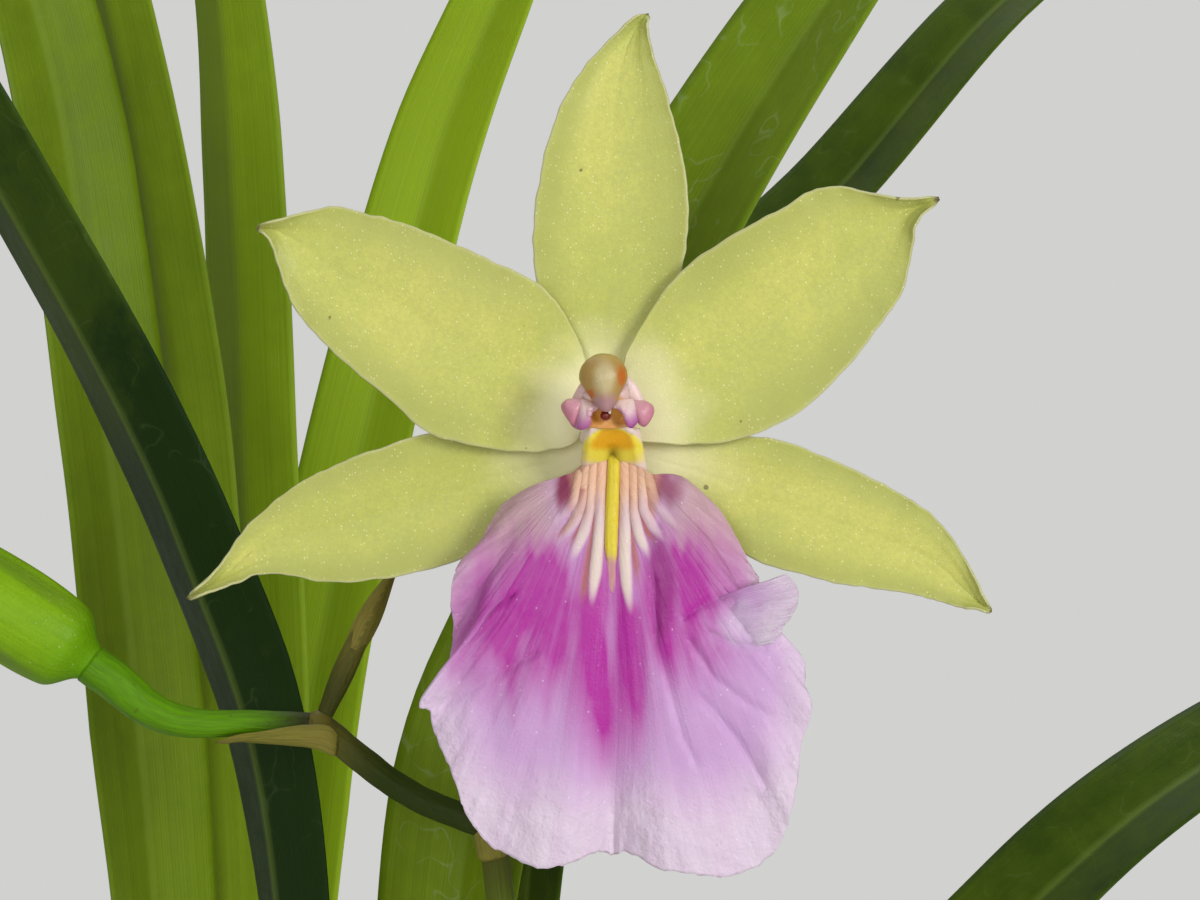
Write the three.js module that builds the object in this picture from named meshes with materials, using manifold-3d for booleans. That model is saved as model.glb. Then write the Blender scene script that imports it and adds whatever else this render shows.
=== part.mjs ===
// A potted orchid in bloom: a clay pot of bark with five pseudobulbs on a creeping rhizome, long strap
// leaves, a young shoot, and a flower stalk that carries one open bloom, a bud and an unopened tip.
// Millimetres, +Z up. The origin is the middle of the pot's flat underside, and the bloom faces -Y.
import * as THREE from "three";
import { mergeVertices } from "three/addons/utils/BufferGeometryUtils.js";
import Module from "manifold-3d";

const wasm = await Module();
wasm.setup();

// Driving dimensions.
const GAP = 0.3; // between pieces that touch
const POT = {
  height: 110, footRadius: 41, wallTopZ: 86, wallTopRadius: 57, rimRadius: 64, wall: 4.6, floor: 7, sides: 32,
};
const DRAIN = { radius: 5, ring: 24, count: 4 };
const BARK = {
  topZ: 96, mound: 1.5, chips: 25, chipSpread: 43.5, length: 15, width: 11, height: 6, restDepth: 1,
};
const RHIZOME = { radius: 3.2, z: 97, sides: 7 };
const ROOT_RADIUS = 1.1;
const BULB = {
  wide: 9.8, thick: 5.6, neck: 4.6, sides: 12, steps: 6, ribs: 6, ribDepth: 0.045,
  sheath: 38, sheathThick: 1.8,
};
const HOLE = { deep: 40, sides: 8, roundBulb: 3, lowLeaf: 5.5, shoot: [10.5, 7], stalk: 4.6 }; // in the bark
const LEAF = { thick: 0.9, rows: 9, columns: 4, tip: 0.35, baseWidth: 0.42, baseFold: 1.25, fold: 0.3 };
const BLOOM = [18, -58, 342]; // where the tepals meet
const TEPAL_THICK = 0.8;
const LIP_THICK = 0.8;

// Where each pseudobulb stands, how high its neck is, where the neck is, and which way its wide side runs.
const BULBS = [
  { name: "pseudobulb_front", at: [-3, -14], neck: [-3, -17, 178], wideDeg: 8 },
  { name: "pseudobulb_middle", at: [12, 3], neck: [12, 2, 176], wideDeg: -6 },
  { name: "pseudobulb_left", at: [-16, 7], neck: [-15, 6, 176], wideDeg: 20 },
  { name: "pseudobulb_back", at: [-26, 27], neck: [-25, 27, 168], wideDeg: 42 },
  { name: "pseudobulb_right", at: [36, 5], neck: [36, 5, 166], wideDeg: 10 },
];

// Each leaf: its full width, its turn about its midrib at base, middle and tip, and its midrib from base up.
const LEAVES = [
  ["leaf_front_left", 13.5, [0, 40, 26],
    [[-6.4, -17, 178.6], [-8.4, -24, 235], [-10.2, -31, 301.8], [-18.4, -34, 332.9], [-34.4, -33, 363.7],
      [-47.4, -31, 383], [-67, -27, 400], [-92, -21, 411], [-118, -14, 405]]],
  ["leaf_front_right", 15, [0, 74, 44],
    [[0.8, -17, 178.6], [1.8, -23, 235], [5.6, -33, 303.6], [12.8, -34, 327.7], [22.6, -34, 355],
      [37.4, -33, 379.4], [50, -34, 394], [70, -37, 406], [93, -40, 408]]],
  ["leaf_middle_up", 11, [0, 40, 30],
    [[9.4, 2, 176.6], [9.4, 3, 235], [11, 4, 300.1], [17.6, 4, 330.2], [26.6, 4, 350.9], [40.6, 5, 365.6],
      [56.2, 7, 383.2], [74, 12, 395], [95, 17, 400], [116, 24, 394]]],
  ["leaf_middle_right", 14, [0, 46, 10],
    [[15, 2, 176.6], [19, 1, 215], [28.5, 0, 250], [42, -1, 279], [56.8, -2, 297.2], [73.6, -2, 311],
      [92, -1, 320], [116, 0, 323], [140, 2, 312]]],
  ["leaf_left_out", 14.5, [0, -50, -42],
    [[-18, 5, 176.6], [-21, 8, 235], [-25.2, 10, 297.6], [-30.2, 10, 345.3], [-36.8, 10, 383.6],
      [-51, 7, 418], [-67, 4, 428], [-85, 0, 428]]],
  ["leaf_left_in", 12.5, [0, 70, 62],
    [[-12.2, 7, 176.6], [-16, 14, 235], [-20, 18, 296.7], [-23.9, 18, 345.4], [-30.6, 19, 384.5],
      [-37, 21, 404], [-47, 23, 418], [-62, 26, 428]]],
  ["leaf_back_left", 12.5, [0, 80, 74],
    [[-27.6, 24.6, 168.6], [-23, 27, 235], [-17.1, 29, 295.6], [-18, 29, 340.6], [-20.4, 30, 385.6],
      [-25, 31, 405], [-32, 33, 424], [-44, 36, 438]]],
  ["leaf_back_right", 12, [0, 62, 28],
    [[-22, 29.4, 168.6], [-18, 37, 235], [-14.4, 41, 294.4], [-10.2, 41, 325.2], [-0.4, 41, 366.2],
      [7.2, 41, 386.7], [15, 42, 404], [25, 44, 422], [39, 48, 436]]],
  ["leaf_right_back", 14, [0, 6, 4],
    [[39, 6.4, 166.6], [46, 10, 215], [66, 18, 255], [98, 29, 276], [134, 42, 268], [160, 52, 240]]],
  ["leaf_right_front", 13.5, [0, 8, 4],
    [[33, 3.6, 166.6], [38, -10, 215], [49, -36, 250], [65, -72, 262], [83, -108, 244], [97, -136, 212]]],
  ["leaf_base_back_left", 12, [0, 4, 6],
    [[-35, 19, 103], [-41, 18, 150], [-60, 29, 194], [-84, 46, 214], [-108, 60, 208], [-126, 70, 190]]],
  ["leaf_base_left", 12.5, [0, -6, -4],
    [[-28, 2, 103], [-36, -2, 150], [-52, -9, 190], [-77, -19, 212], [-105, -28, 210], [-127, -34, 190]]],
  ["leaf_base_back", 12.5, [0, 5, 0],
    [[3, 13.5, 103], [3, 21, 150], [7, 42, 200], [13, 74, 228], [19, 108, 222], [24, 134, 196]]],
  ["leaf_base_right", 12, [0, -5, 0],
    [[48, 9.2, 103], [57, 5, 150], [74, -4, 186], [100, -14, 200], [126, -24, 186]]],
  ["leaf_base_far_back", 11.5, [0, -4, 0],
    [[-15.4, 36, 103], [-13, 46, 150], [-9, 71, 196], [-2, 100, 220], [5, 130, 212], [10, 152, 188]]],
];

// The young shoot's foot, and its blades: lean from upright in degrees, length, width and step along the fan.
const SHOOT = {
  at: [-28, -27, 100.6], planeDeg: 186, footHeight: 20, footWide: [5.6, 3], footThick: [3.4, 1.6],
  blades: [[34, 74, 9, 4.2], [13, 118, 11, 1.4], [-7, 104, 10.5, -1.4], [-24, 58, 8.5, -4]],
};

// The tepals, seen from the front: both edges from base to tip as [across, up] from the bloom's middle.
const TEPALS = [
  { name: "dorsal_sepal", depth: 2.0, reach: 0.6, cup: -0.9, tipCup: -0.7,
    left: [[-0.8, 2.1], [-2.0, 6.2], [-4.2, 9.1], [-5.4, 11.9], [-5.8, 15.4], [-5.4, 19.4], [-4.5, 23.6],
      [-2.9, 27.5], [-0.8, 30.3], [1.9, 33.0], [3.2, 33.8]],
    right: [[0.8, 2.1], [1.9, 6.6], [4.3, 9.6], [5.9, 12.4], [6.6, 15.8], [6.6, 19.8], [5.9, 23.6],
      [4.9, 27.4], [3.9, 30.2], [3.4, 32.6], [3.7, 33.5]] },
  { name: "petal_left", depth: 0.6, reach: -1.2, cup: -0.7, tipCup: -1.0,
    left: [[-1.4, 1.8], [-1.6, 5.8], [-3.0, 9.0], [-5.0, 11.6], [-8.6, 13.5], [-12.2, 15.1], [-15.8, 16.6],
      [-18.9, 17.4], [-21.4, 18.0], [-23.6, 17.6], [-26.0, 16.9], [-27.8, 16.5]],
    right: [[-2.2, -0.6], [-3.2, -1.2], [-6.2, -1.6], [-10.4, -1.1], [-14.2, 0], [-17.3, 2.7], [-20.5, 5.3],
      [-23.2, 7.9], [-25.0, 10.3], [-26.0, 13.1], [-26.8, 15.4], [-27.8, 16.1]] },
  { name: "petal_right", depth: 0.6, reach: -1.4, cup: -0.7, tipCup: -1.0,
    left: [[1.4, 1.8], [1.6, 5.8], [3.0, 8.6], [4.8, 11.4], [7.5, 14.0], [11.0, 16.2], [14.2, 17.9],
      [16.3, 19.2], [18.6, 19.6], [21.1, 19.1], [23.8, 18.6], [26.6, 18.8]],
    right: [[2.2, -0.6], [3.2, -0.8], [6.6, -1.0], [10.2, -0.7], [13.4, 0.4], [16.8, 2.6], [19.8, 5.8],
      [22.1, 8.8], [23.8, 11.3], [24.5, 14.6], [24.9, 16.8], [26.7, 18.4]] },
  { name: "lateral_sepal_left", depth: 2.0, reach: -0.4, cup: -0.6, tipCup: -1.1,
    left: [[-2.0, -0.2], [-3.4, -0.5], [-7.0, -0.3], [-11.0, 0], [-14.6, -0.2], [-17.8, -1.2], [-21.0, -2.4],
      [-24.0, -3.8], [-26.6, -5.6], [-28.9, -7.8], [-30.6, -10.3], [-32.2, -12.1], [-33.6, -13.2]],
    right: [[-0.8, -2.1], [-1.9, -3.3], [-5.0, -5.3], [-8.2, -7.6], [-11.4, -10.1], [-15.4, -11.3],
      [-19.0, -11.9], [-22.6, -12.0], [-25.4, -11.5], [-27.7, -11.4], [-29.8, -12.2], [-32.0, -12.9],
      [-33.6, -13.6]] },
  { name: "lateral_sepal_right", depth: 2.0, reach: -0.8, cup: -0.6, tipCup: -0.8,
    left: [[2.0, -0.2], [3.2, -0.5], [6.6, -0.5], [10.6, -0.3], [14.2, -0.7], [17.7, -2.0], [20.8, -3.4],
      [23.8, -5.0], [26.2, -6.6], [27.9, -8.6], [29.4, -11.2], [30.4, -13.3], [31.0, -14.2]],
    right: [[0.8, -2.1], [2.2, -3.0], [5.1, -4.9], [8.3, -7.4], [11.9, -10.2], [15.4, -11.3], [19.0, -12.2],
      [22.0, -12.6], [24.6, -13.0], [26.6, -13.5], [28.3, -14.0], [29.9, -14.2], [31.0, -14.6]] },
];

// The lip's margin from its upper left corner round the bottom to its upper right one, as [across, back, up].
// Its folds: the small lobe half way down the left, and the flap that stands forward on the right.
const LIP_MARGIN = [
  [-8.2, 0.3, -5.4], [-9.3, 0.5, -6.6], [-10.2, 0.3, -8.7], [-11.8, -0.2, -10.2], [-12.5, -0.4, -11.8],
  [-12.6, 0.2, -13.7], [-12.4, 1.1, -15.7], [-12.6, 1.5, -17.8], [-13.4, 0.7, -19.4], [-14.6, -0.6, -20.8],
  [-15.0, -1.0, -21.9], [-14.1, 0.2, -22.2], [-13.9, 0.7, -23.4], [-12.8, 0.2, -25.6], [-11.8, -0.3, -28.0],
  [-11.0, 0.2, -30.4], [-9.4, 0.5, -32.6], [-7.4, 0, -33.7], [-5.0, -0.5, -34.6], [-2.6, -0.2, -34.1],
  [-0.6, 0.4, -33.4], [0.6, 0.9, -33.7], [1.9, 0.3, -33.4], [4.3, -0.4, -34.6], [7.0, -0.5, -35.0],
  [9.6, 0, -35.3], [12.2, 0.5, -34.4], [13.8, 0.4, -32.9], [14.6, -0.2, -30.6], [15.2, -0.3, -28.2],
  [15.5, 0.3, -25.3], [16.4, -0.3, -21.9], [15.9, 0, -20.2], [15.8, 0.4, -18.2], [14.6, 0.9, -17.0],
  [12.9, 1.3, -17.0], [13.7, -1.6, -15.6], [15.1, -2.6, -13.3], [14.2, -2.2, -11.4], [12.5, 0.7, -11.9],
  [11.4, 0.4, -10.3], [10.4, 0, -8.3], [9.0, -0.2, -6.1], [7.2, 0, -4.4],
];
const LIP = {
  middle: 21, // the margin point at the foot of the middle groove
  base: { left: -2.5, right: 3.4, low: -3.6, arch: 1.7, depth: -1.9 },
  claw: 2.3, // how far the base runs back under the column
  rows: 8,
  smoothing: 0.07, // how far along the margin the folds are evened out inside it
  shoulderBulge: 0.5,
  swell: [5.4, 0.6], fall: [3.9, 1.4], // how it bows forward and falls back, in its middle and at its sides
  ridges: 6, ridgeHeight: 0.55, ridgeEnd: 0.34, groove: 0.8,
};

const CAP = { middle: [-0.2, -6.1, 4.4], radii: [1.95, 1.6, 2], lean: 0.5 };

// The flower stalk in the bloom's own frame, and lower down in the pot's.
const STALK_FOOT = [
  [5.4, -24.4, 100.8], [9.5, -27, 140], [13.6, -32, 205], [13.4, -38, 262], [8.6, -43, 309],
];
const RACHIS = {
  first: [-9.4, 15, -33], second: [-23.7, 14, -24.4], third: [-20.5, 14.5, -17], tip: [-16.6, 15.4, -9.6],
};
const LAST_BUD_RADIUS = 1.2;
const STALK_RADIUS = { foot: 2.1, top: 1.25, rachis: 1.2, end: 0.8, knot: [1.75, 1.6, 1.25] };
const STALK_SIDE = [0, 1, 0.2];
const SHEATHS = [[0.1, 27], [0.36, 25], [0.62, 22], [0.84, 17]]; // place along the stalk's foot, length
const BRACT_THICK = 0.8;
const FRONT = [0, -1, 0];
const BLOOM_PEDICEL = [[0.2, 3, -0.4], [0, 7, -0.7], [-0.9, 11.6, -3.2], [-3.4, 14.6, -10], [-6.2, 15.6, -20],
  [-8.2, 15, -29.8]];
const BUD_PEDICEL = [[-26, 14, -24.2], [-29.5, 14, -24.1], [-32.8, 13.8, -24.2], [-35.6, 13.8, -23.9],
  [-38, 13.8, -22.9], [-39.9, 13.8, -21.4], [-41.1, 13.8, -20.4], [-42, 13.8, -19.8]];
const BUD_PEDICEL_RADII = [1.05, 1.75];
const BUD = { base: [-42.7, 13.8, -19.2], tip: [-63.6, 13, -4.4], radius: 4.2, foot: 0.62 };

// Colours.
const paint = (color, roughness) => new THREE.MeshStandardMaterial({ color, roughness, metalness: 0 });
const CLAY = paint(0xb4653f, 0.85);
const BARK_BROWN = paint(0x5f3f28, 0.9);
const ROOT_PALE = paint(0xb9b08c, 0.7);
const BULB_GREEN = paint(0x8c9c3c, 0.5);
const LEAF_GREEN = paint(0x4f7d1a, 0.42);
const STALK_GREEN = paint(0x4b5a24, 0.5);
const BUD_GREEN = paint(0x7fa51d, 0.45);
const PALE_YELLOW = paint(0xcdcd6e, 0.5);
const ROSE = paint(0xc98ac4, 0.5);
const COLUMN_PINK = paint(0xdcaeb0, 0.5);
const CAP_CREAM = paint(0xcdb982, 0.5);

// Small tools.
const DEG = Math.PI / 180;
const vec = (p) => new THREE.Vector3(...p);
const clamp01 = (x) => Math.min(1, Math.max(0, x));
const smooth = (a, b, x) => {
  const t = clamp01((x - a) / (b - a));
  return t * t * (3 - 2 * t);
};
const mix = (a, b, t) => a + (b - a) * t;
const through = (points) => new THREE.CatmullRomCurve3(points.map(vec), false, "catmullrom", 0.5);

// Numbers from 0 to 1 that are the same on every run.
function seeded(seed) {
  let state = seed;
  return () => {
    state = (state * 1664525 + 1013904223) % 4294967296;
    return state / 4294967296;
  };
}

// A geometry of positions and triangles only, its shared vertices merged and its faces turned outwards.
function closed(geometry) {
  geometry.deleteAttribute("normal");
  geometry.deleteAttribute("uv");
  const merged = mergeVertices(geometry, 1e-4);
  const at = merged.attributes.position;
  const corner = (i) => new THREE.Vector3().fromBufferAttribute(at, merged.index.getX(i));
  const kept = [];
  let volume = 0;
  for (let i = 0; i < merged.index.count; i += 3) {
    const [a, b, c] = [0, 1, 2].map((k) => merged.index.getX(i + k));
    if (a === b || b === c || a === c) continue;
    kept.push([a, b, c]);
    volume += corner(i).dot(corner(i + 1).cross(corner(i + 2)));
  }
  merged.setIndex(kept.flatMap(([a, b, c]) => (volume < 0 ? [a, c, b] : [a, b, c])));
  return merged;
}

// A closed geometry as a solid for cutting and joining, and a solid as a geometry.
function solid(geometry) {
  const whole = closed(geometry);
  return new wasm.Manifold(new wasm.Mesh({
    numProp: 3,
    vertProperties: whole.attributes.position.array,
    triVerts: new Uint32Array(whole.index.array),
  }));
}
function geometryOf(made) {
  const mesh = made.getMesh();
  return new THREE.BufferGeometry()
    .setAttribute("position", new THREE.BufferAttribute(mesh.vertProperties, 3))
    .setIndex(new THREE.BufferAttribute(mesh.triVerts, 1));
}
const joined = (geometries) => geometries.map(solid).reduce((all, one) => all.add(one));

function piece(name, material, geometry) {
  const mesh = new THREE.Mesh(geometry, material);
  mesh.name = name;
  return mesh;
}

// A blade: a grid whose front and back share their triangles, joined round the rim. place(s, t) gives a
// point of the middle surface, s from 0 to 1 along it and t from -1 to 1 across it, and raise its relief.
function blade(rows, columns, place, thick, raise = () => 0) {
  const grid = new THREE.PlaneGeometry(1, 1, columns, rows);
  const count = grid.attributes.position.count;
  const positions = new Float32Array(count * 6);
  const step = 1e-3;
  for (let i = 0; i < count; i++) {
    const s = Math.floor(i / (columns + 1)) / rows;
    const t = ((i % (columns + 1)) / columns) * 2 - 1;
    const along = place(Math.min(1, s + step), t).sub(place(Math.max(0, s - step), t));
    const across = place(s, Math.min(1, t + step)).sub(place(s, Math.max(-1, t - step)));
    const normal = across.cross(along).normalize();
    const middle = place(s, t);
    middle.clone().addScaledVector(normal, thick / 2 + raise(s, t)).toArray(positions, i * 3);
    middle.addScaledVector(normal, -thick / 2).toArray(positions, (count + i) * 3);
  }
  const front = [...grid.index.array];
  const back = front.map((_, i) => front[i - (i % 3) + 2 - (i % 3)] + count);
  const at = (row, column) => row * (columns + 1) + column;
  const rim = [
    ...Array.from({ length: rows }, (_, r) => at(r, 0)),
    ...Array.from({ length: columns }, (_, c) => at(rows, c)),
    ...Array.from({ length: rows }, (_, r) => at(rows - r, columns)),
    ...Array.from({ length: columns }, (_, c) => at(0, columns - c)),
  ];
  const sides = rim.flatMap((p, i) => {
    const q = rim[(i + 1) % rim.length];
    return [q, p, p + count, q, p + count, q + count];
  });
  return closed(new THREE.BufferGeometry()
    .setAttribute("position", new THREE.BufferAttribute(positions, 3))
    .setIndex([...front, ...back, ...sides]));
}

// A round or oval body along a path. size(s, angle) gives its half widths along the side and the other way.
function sweep(points, sides, steps, side, size) {
  const path = through(points);
  const body = new THREE.CylinderGeometry(1, 1, 1, sides, steps);
  const at = body.attributes.position;
  for (let i = 0; i < at.count; i++) {
    const s = clamp01(0.5 - at.getY(i));
    const [x, z] = [at.getX(i), at.getZ(i)];
    const along = path.getTangentAt(s);
    const wide = vec(side).addScaledVector(along, -vec(side).dot(along)).normalize();
    const other = new THREE.Vector3().crossVectors(along, wide);
    const [a, b] = size(s, Math.atan2(z, x));
    const p = path.getPointAt(s).addScaledVector(wide, a * x).addScaledVector(other, b * z);
    at.setXYZ(i, p.x, p.y, p.z);
  }
  return closed(body);
}
const round = (radius) => () => [radius, radius];

// A path made a little longer at both ends.
function lengthened(points, by) {
  const beyond = (p, q) => vec(p).addScaledVector(vec(p).sub(vec(q)).normalize(), by).toArray();
  const last = points.length - 1;
  return [beyond(points[0], points[1]), ...points.slice(1, last), beyond(points[last], points[last - 1])];
}

// The pot, with drain holes round its floor, and the bark that fills it.
function potGeometry() {
  const { height, footRadius, wallTopZ, wallTopRadius, rimRadius, wall, floor, sides } = POT;
  const profile = [
    [0, 0], [footRadius, 0], [footRadius + 1.5, 1.5], [wallTopRadius, wallTopZ],
    [rimRadius - 2.4, wallTopZ + 1.6],
    [rimRadius, height - 1.6], [rimRadius - 1.4, height], [rimRadius - wall - 0.8, height],
    [rimRadius - wall - 1.8, height - 1.6], [wallTopRadius - wall + 0.6, wallTopZ + 2],
    [footRadius - wall + 2.2, floor], [0, floor],
  ];
  const body = new THREE.LatheGeometry(profile.map(([r, z]) => new THREE.Vector2(r, z)), sides);
  let pot = solid(body.rotateX(Math.PI / 2));
  for (let i = 0; i < DRAIN.count; i++) {
    const angle = ((i + 0.5) * 2 * Math.PI) / DRAIN.count;
    const hole = new THREE.CylinderGeometry(DRAIN.radius, DRAIN.radius, floor * 3, 12).rotateX(Math.PI / 2)
      .translate(DRAIN.ring * Math.cos(angle), DRAIN.ring * Math.sin(angle), 0);
    pot = pot.subtract(solid(hole));
  }
  return geometryOf(pot);
}

function innerRadius(z) {
  const low = POT.footRadius - POT.wall + 2.2;
  const shoulder = POT.wallTopRadius - POT.wall + 0.6;
  const high = POT.rimRadius - POT.wall - 1.8;
  return z < POT.wallTopZ + 2
    ? mix(low, shoulder, (z - POT.floor) / (POT.wallTopZ + 2 - POT.floor))
    : mix(shoulder, high, (z - POT.wallTopZ - 2) / (POT.height - 1.6 - POT.wallTopZ - 2));
}

// The rhizome's three runs and the roots that leave it, each a list of points on the bark.
const RUNS = [
  [[-33, 34], [-26, 27], [-16, 7], [-3, -14], [4.6, -23.4]],
  [[-16, 7], [-2, 6], [12, 3], [36, 5], [43, 6]],
  [[-3, -14], [-16, -24], [-28, -27]],
];
const ROOTS = [
  [[-30, 30], [-42, 24], [-46, 8], [-43, -8]], [[-24, 26], [-16, 40], [-4, 44], [4, 45]],
  [[24, 5], [24, 22], [33, 33], [33, 39]], [[40, 6], [44, -12], [37, -28], [30, -33]],
  [[1, -18], [12, -34], [19, -40], [24, -43]], [[-12, -22], [-15, -32], [-21, -38], [-26, -42]],
];
function rhizomeSolid(grow) {
  const runs = RUNS.map((run) => {
    const points = lengthened(run.map(([x, y]) => [x, y, RHIZOME.z]), grow * 1.3);
    return sweep(points, RHIZOME.sides, run.length * 2, [0, 0, 1], (s) => {
      const end = Math.min(1, Math.min(s, 1 - s) * 9 + 0.55);
      const r = RHIZOME.radius * end + grow;
      return [r, r];
    });
  });
  const roots = ROOTS.map((root) => {
    const heights = [RHIZOME.z, RHIZOME.z + 1.2, RHIZOME.z, RHIZOME.z - 9];
    const points = lengthened(root.map(([x, y], i) => [x, y, heights[i]]), grow * 1.3);
    return sweep(points, 5, 7, [0, 0.3, 1], round(ROOT_RADIUS + grow));
  });
  return joined([...runs, ...roots]);
}

function barkSolid() {
  const random = seeded(11);
  const { topZ, mound, chips, chipSpread, length, width, height } = BARK;
  const low = POT.floor + GAP;
  const bend = POT.wallTopZ + 2;
  const profile = [
    [0, low], [innerRadius(low) - GAP, low], [innerRadius(bend) - GAP, bend], [innerRadius(topZ) - GAP, topZ],
    [innerRadius(topZ) / 2, topZ + mound * 0.6], [0, topZ + mound],
  ];
  const plug = new THREE.LatheGeometry(profile.map(([r, z]) => new THREE.Vector2(r, z)), POT.sides);
  let bark = solid(plug.rotateX(Math.PI / 2));
  for (let i = 0; i < chips; i++) {
    const reach = chipSpread * Math.sqrt((i + 0.6) / chips);
    const angle = i * 2.39996 + random() * 0.3;
    const size = 0.75 + random() * 0.45;
    const chip = new THREE.BoxGeometry(length * size, width * size, height * (0.8 + random() * 0.5));
    chip.rotateX((random() - 0.5) * 0.5).rotateY((random() - 0.5) * 0.5).rotateZ(random() * Math.PI)
      .translate(reach * Math.cos(angle), reach * Math.sin(angle), topZ + mound * 0.5 + random() * 1.6);
    bark = bark.add(solid(chip));
  }
  return bark;
}

// The plain holes in the bark that the growths, the stalk and the low leaves stand in.
function standingHoles() {
  const { deep, sides, roundBulb, lowLeaf, shoot, stalk } = HOLE;
  const bottom = topOfRhizome - BARK.restDepth;
  const well = (x, y, wide, thick, deg, low) => {
    const hole = new THREE.CylinderGeometry(1, 1, deep, sides).rotateX(Math.PI / 2).scale(wide, thick, 1);
    return solid(hole.rotateZ(deg * DEG).translate(x, y, low + deep / 2));
  };
  const bulbs = BULBS.map(({ at: [x, y], wideDeg }) =>
    well(x, y, BULB.wide + roundBulb, BULB.thick + roundBulb, wideDeg, bottom));
  const lowLeaves = LEAVES.filter(([name]) => name.startsWith("leaf_base")).map(([, , , points]) => {
    const [x, y, z] = points[0];
    return well(x, y, lowLeaf, lowLeaf, 0, z - BARK.restDepth);
  });
  const rest = [
    well(SHOOT.at[0], SHOOT.at[1], ...shoot, SHOOT.planeDeg, bottom),
    well(STALK_FOOT[0][0], STALK_FOOT[0][1], stalk, stalk, 0, bottom),
  ];
  return [...bulbs, ...lowLeaves, ...rest].reduce((all, one) => all.add(one));
}
const topOfRhizome = RHIZOME.z + RHIZOME.radius;

// A pseudobulb: flattened, ribbed, widest below its middle, with a dry sheath clasping its foot.
function bulbGeometry({ at, neck, wideDeg }) {
  const foot = topOfRhizome + GAP;
  const wide = [Math.cos(wideDeg * DEG), Math.sin(wideDeg * DEG), 0];
  const points = [
    [...at, foot], [...at, foot + 24], [mix(at[0], neck[0], 0.6), mix(at[1], neck[1], 0.6), 150], neck,
  ];
  const swell = (s) => mix(0.5, 1, smooth(0, 0.3, s)) * mix(1, BULB.neck / BULB.wide, smooth(0.34, 1, s));
  const body = sweep(points, BULB.sides, BULB.steps, wide, (s, angle) => {
    const rib = 1 - BULB.ribDepth * (1 - Math.cos(angle * BULB.ribs)) * smooth(0, 0.2, s);
    const thin = mix(1, 1.15, smooth(0.5, 1, s));
    return [BULB.wide * swell(s) * rib, BULB.thick * swell(s) * rib * thin];
  });
  const [cos, sin] = wide;
  const sheath = blade(5, 4, (s, t) => {
    const angle = t * mix(1.2, 0.12, s ** 1.6);
    const out = (BULB.wide * swell(s * 0.5) - 0.3) * Math.cos(angle);
    const side = (BULB.thick * swell(s * 0.5) - 0.3) * Math.sin(angle);
    return vec([at[0] + cos * out - sin * side, at[1] + sin * out + cos * side, foot + 1 + s * BULB.sheath]);
  }, BULB.sheathThick);
  return geometryOf(joined([body, sheath]));
}

// A strap leaf: folded along its midrib at the base, opening to a shallow channel, ending in a sharp tip.
function leafPlace(points, width, turns) {
  const path = through(points);
  const [first, last] = [points[0], points[points.length - 1]];
  const outward = new THREE.Vector3(last[0] - first[0], last[1] - first[1], 0).normalize();
  const level = new THREE.Vector3(0, 0, 1).cross(outward);
  return (s, t) => {
    const along = path.getTangentAt(s);
    const turn = s < 0.5 ? mix(turns[0], turns[1], s * 2) : mix(turns[1], turns[2], s * 2 - 1);
    const across = level.clone().addScaledVector(along, -level.dot(along)).normalize();
    across.applyAxisAngle(along, turn * DEG);
    const up = new THREE.Vector3().crossVectors(along, across);
    const widen = mix(LEAF.baseWidth, 1, smooth(0, 0.42, s));
    const narrow = Math.sqrt(1 - smooth(0.62, 1, s) ** 1.5) * (1 - 0.25 * smooth(0.8, 1, s));
    const half = Math.max(LEAF.tip, (width / 2) * widen * narrow);
    const fold = mix(LEAF.baseFold, LEAF.fold, smooth(0, 0.35, s));
    const flat = 1 / Math.hypot(1, fold);
    const p = path.getPointAt(s).addScaledVector(across, t * half * flat);
    return p.addScaledVector(up, Math.abs(t) * half * fold * flat);
  };
}
const leafGeometry = (points, width, turns) =>
  blade(LEAF.rows, LEAF.columns, leafPlace(points, width, turns), LEAF.thick);

// The young shoot: a fan of blades that clasp one another at the foot.
function shootGeometry() {
  const [x, y, z] = SHOOT.at;
  const fan = [Math.cos(SHOOT.planeDeg * DEG), Math.sin(SHOOT.planeDeg * DEG)];
  const blades = SHOOT.blades.map(([lean, long, width, step]) => {
    const bend = (share) => step + Math.sin(lean * share * DEG) * long * share;
    const points = [0, 0.3, 0.65, 1].map((share) => [x + fan[0] * bend(share), y + fan[1] * bend(share),
      z + 0.6 + long * share * Math.cos(lean * share * DEG)]);
    return blade(6, 4, leafPlace(points, width, [0, 0, 0]), LEAF.thick);
  });
  const { footHeight: high, footWide, footThick } = SHOOT;
  const foot = sweep([[x, y, z], [x, y, z + high / 2], [x, y, z + high]], 10, 4, [fan[0], fan[1], 0],
    (s) => [mix(...footWide, s), mix(...footThick, s)]);
  return geometryOf(joined([foot, ...blades]));
}

// A tepal between its two edges: a thin blade, a little hollow across, its tip more so.
function tepalGeometry({ left, right, depth, reach, cup, tipCup }) {
  const [a, b] = [left, right].map((edge) => through(edge.map(([x, z]) => [x, 0, z])));
  return blade(left.length - 1, 6, (s, t) => {
    const p = a.getPoint(s).lerp(b.getPoint(s), (t + 1) / 2);
    const atTip = smooth(0.7, 0.95, s) * (1 - smooth(0.95, 1, s));
    p.y = depth + reach * s * s + (cup * Math.sin(Math.PI * clamp01(s)) + tipCup * atTip) * t * t;
    return p;
  }, TEPAL_THICK);
}

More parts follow.
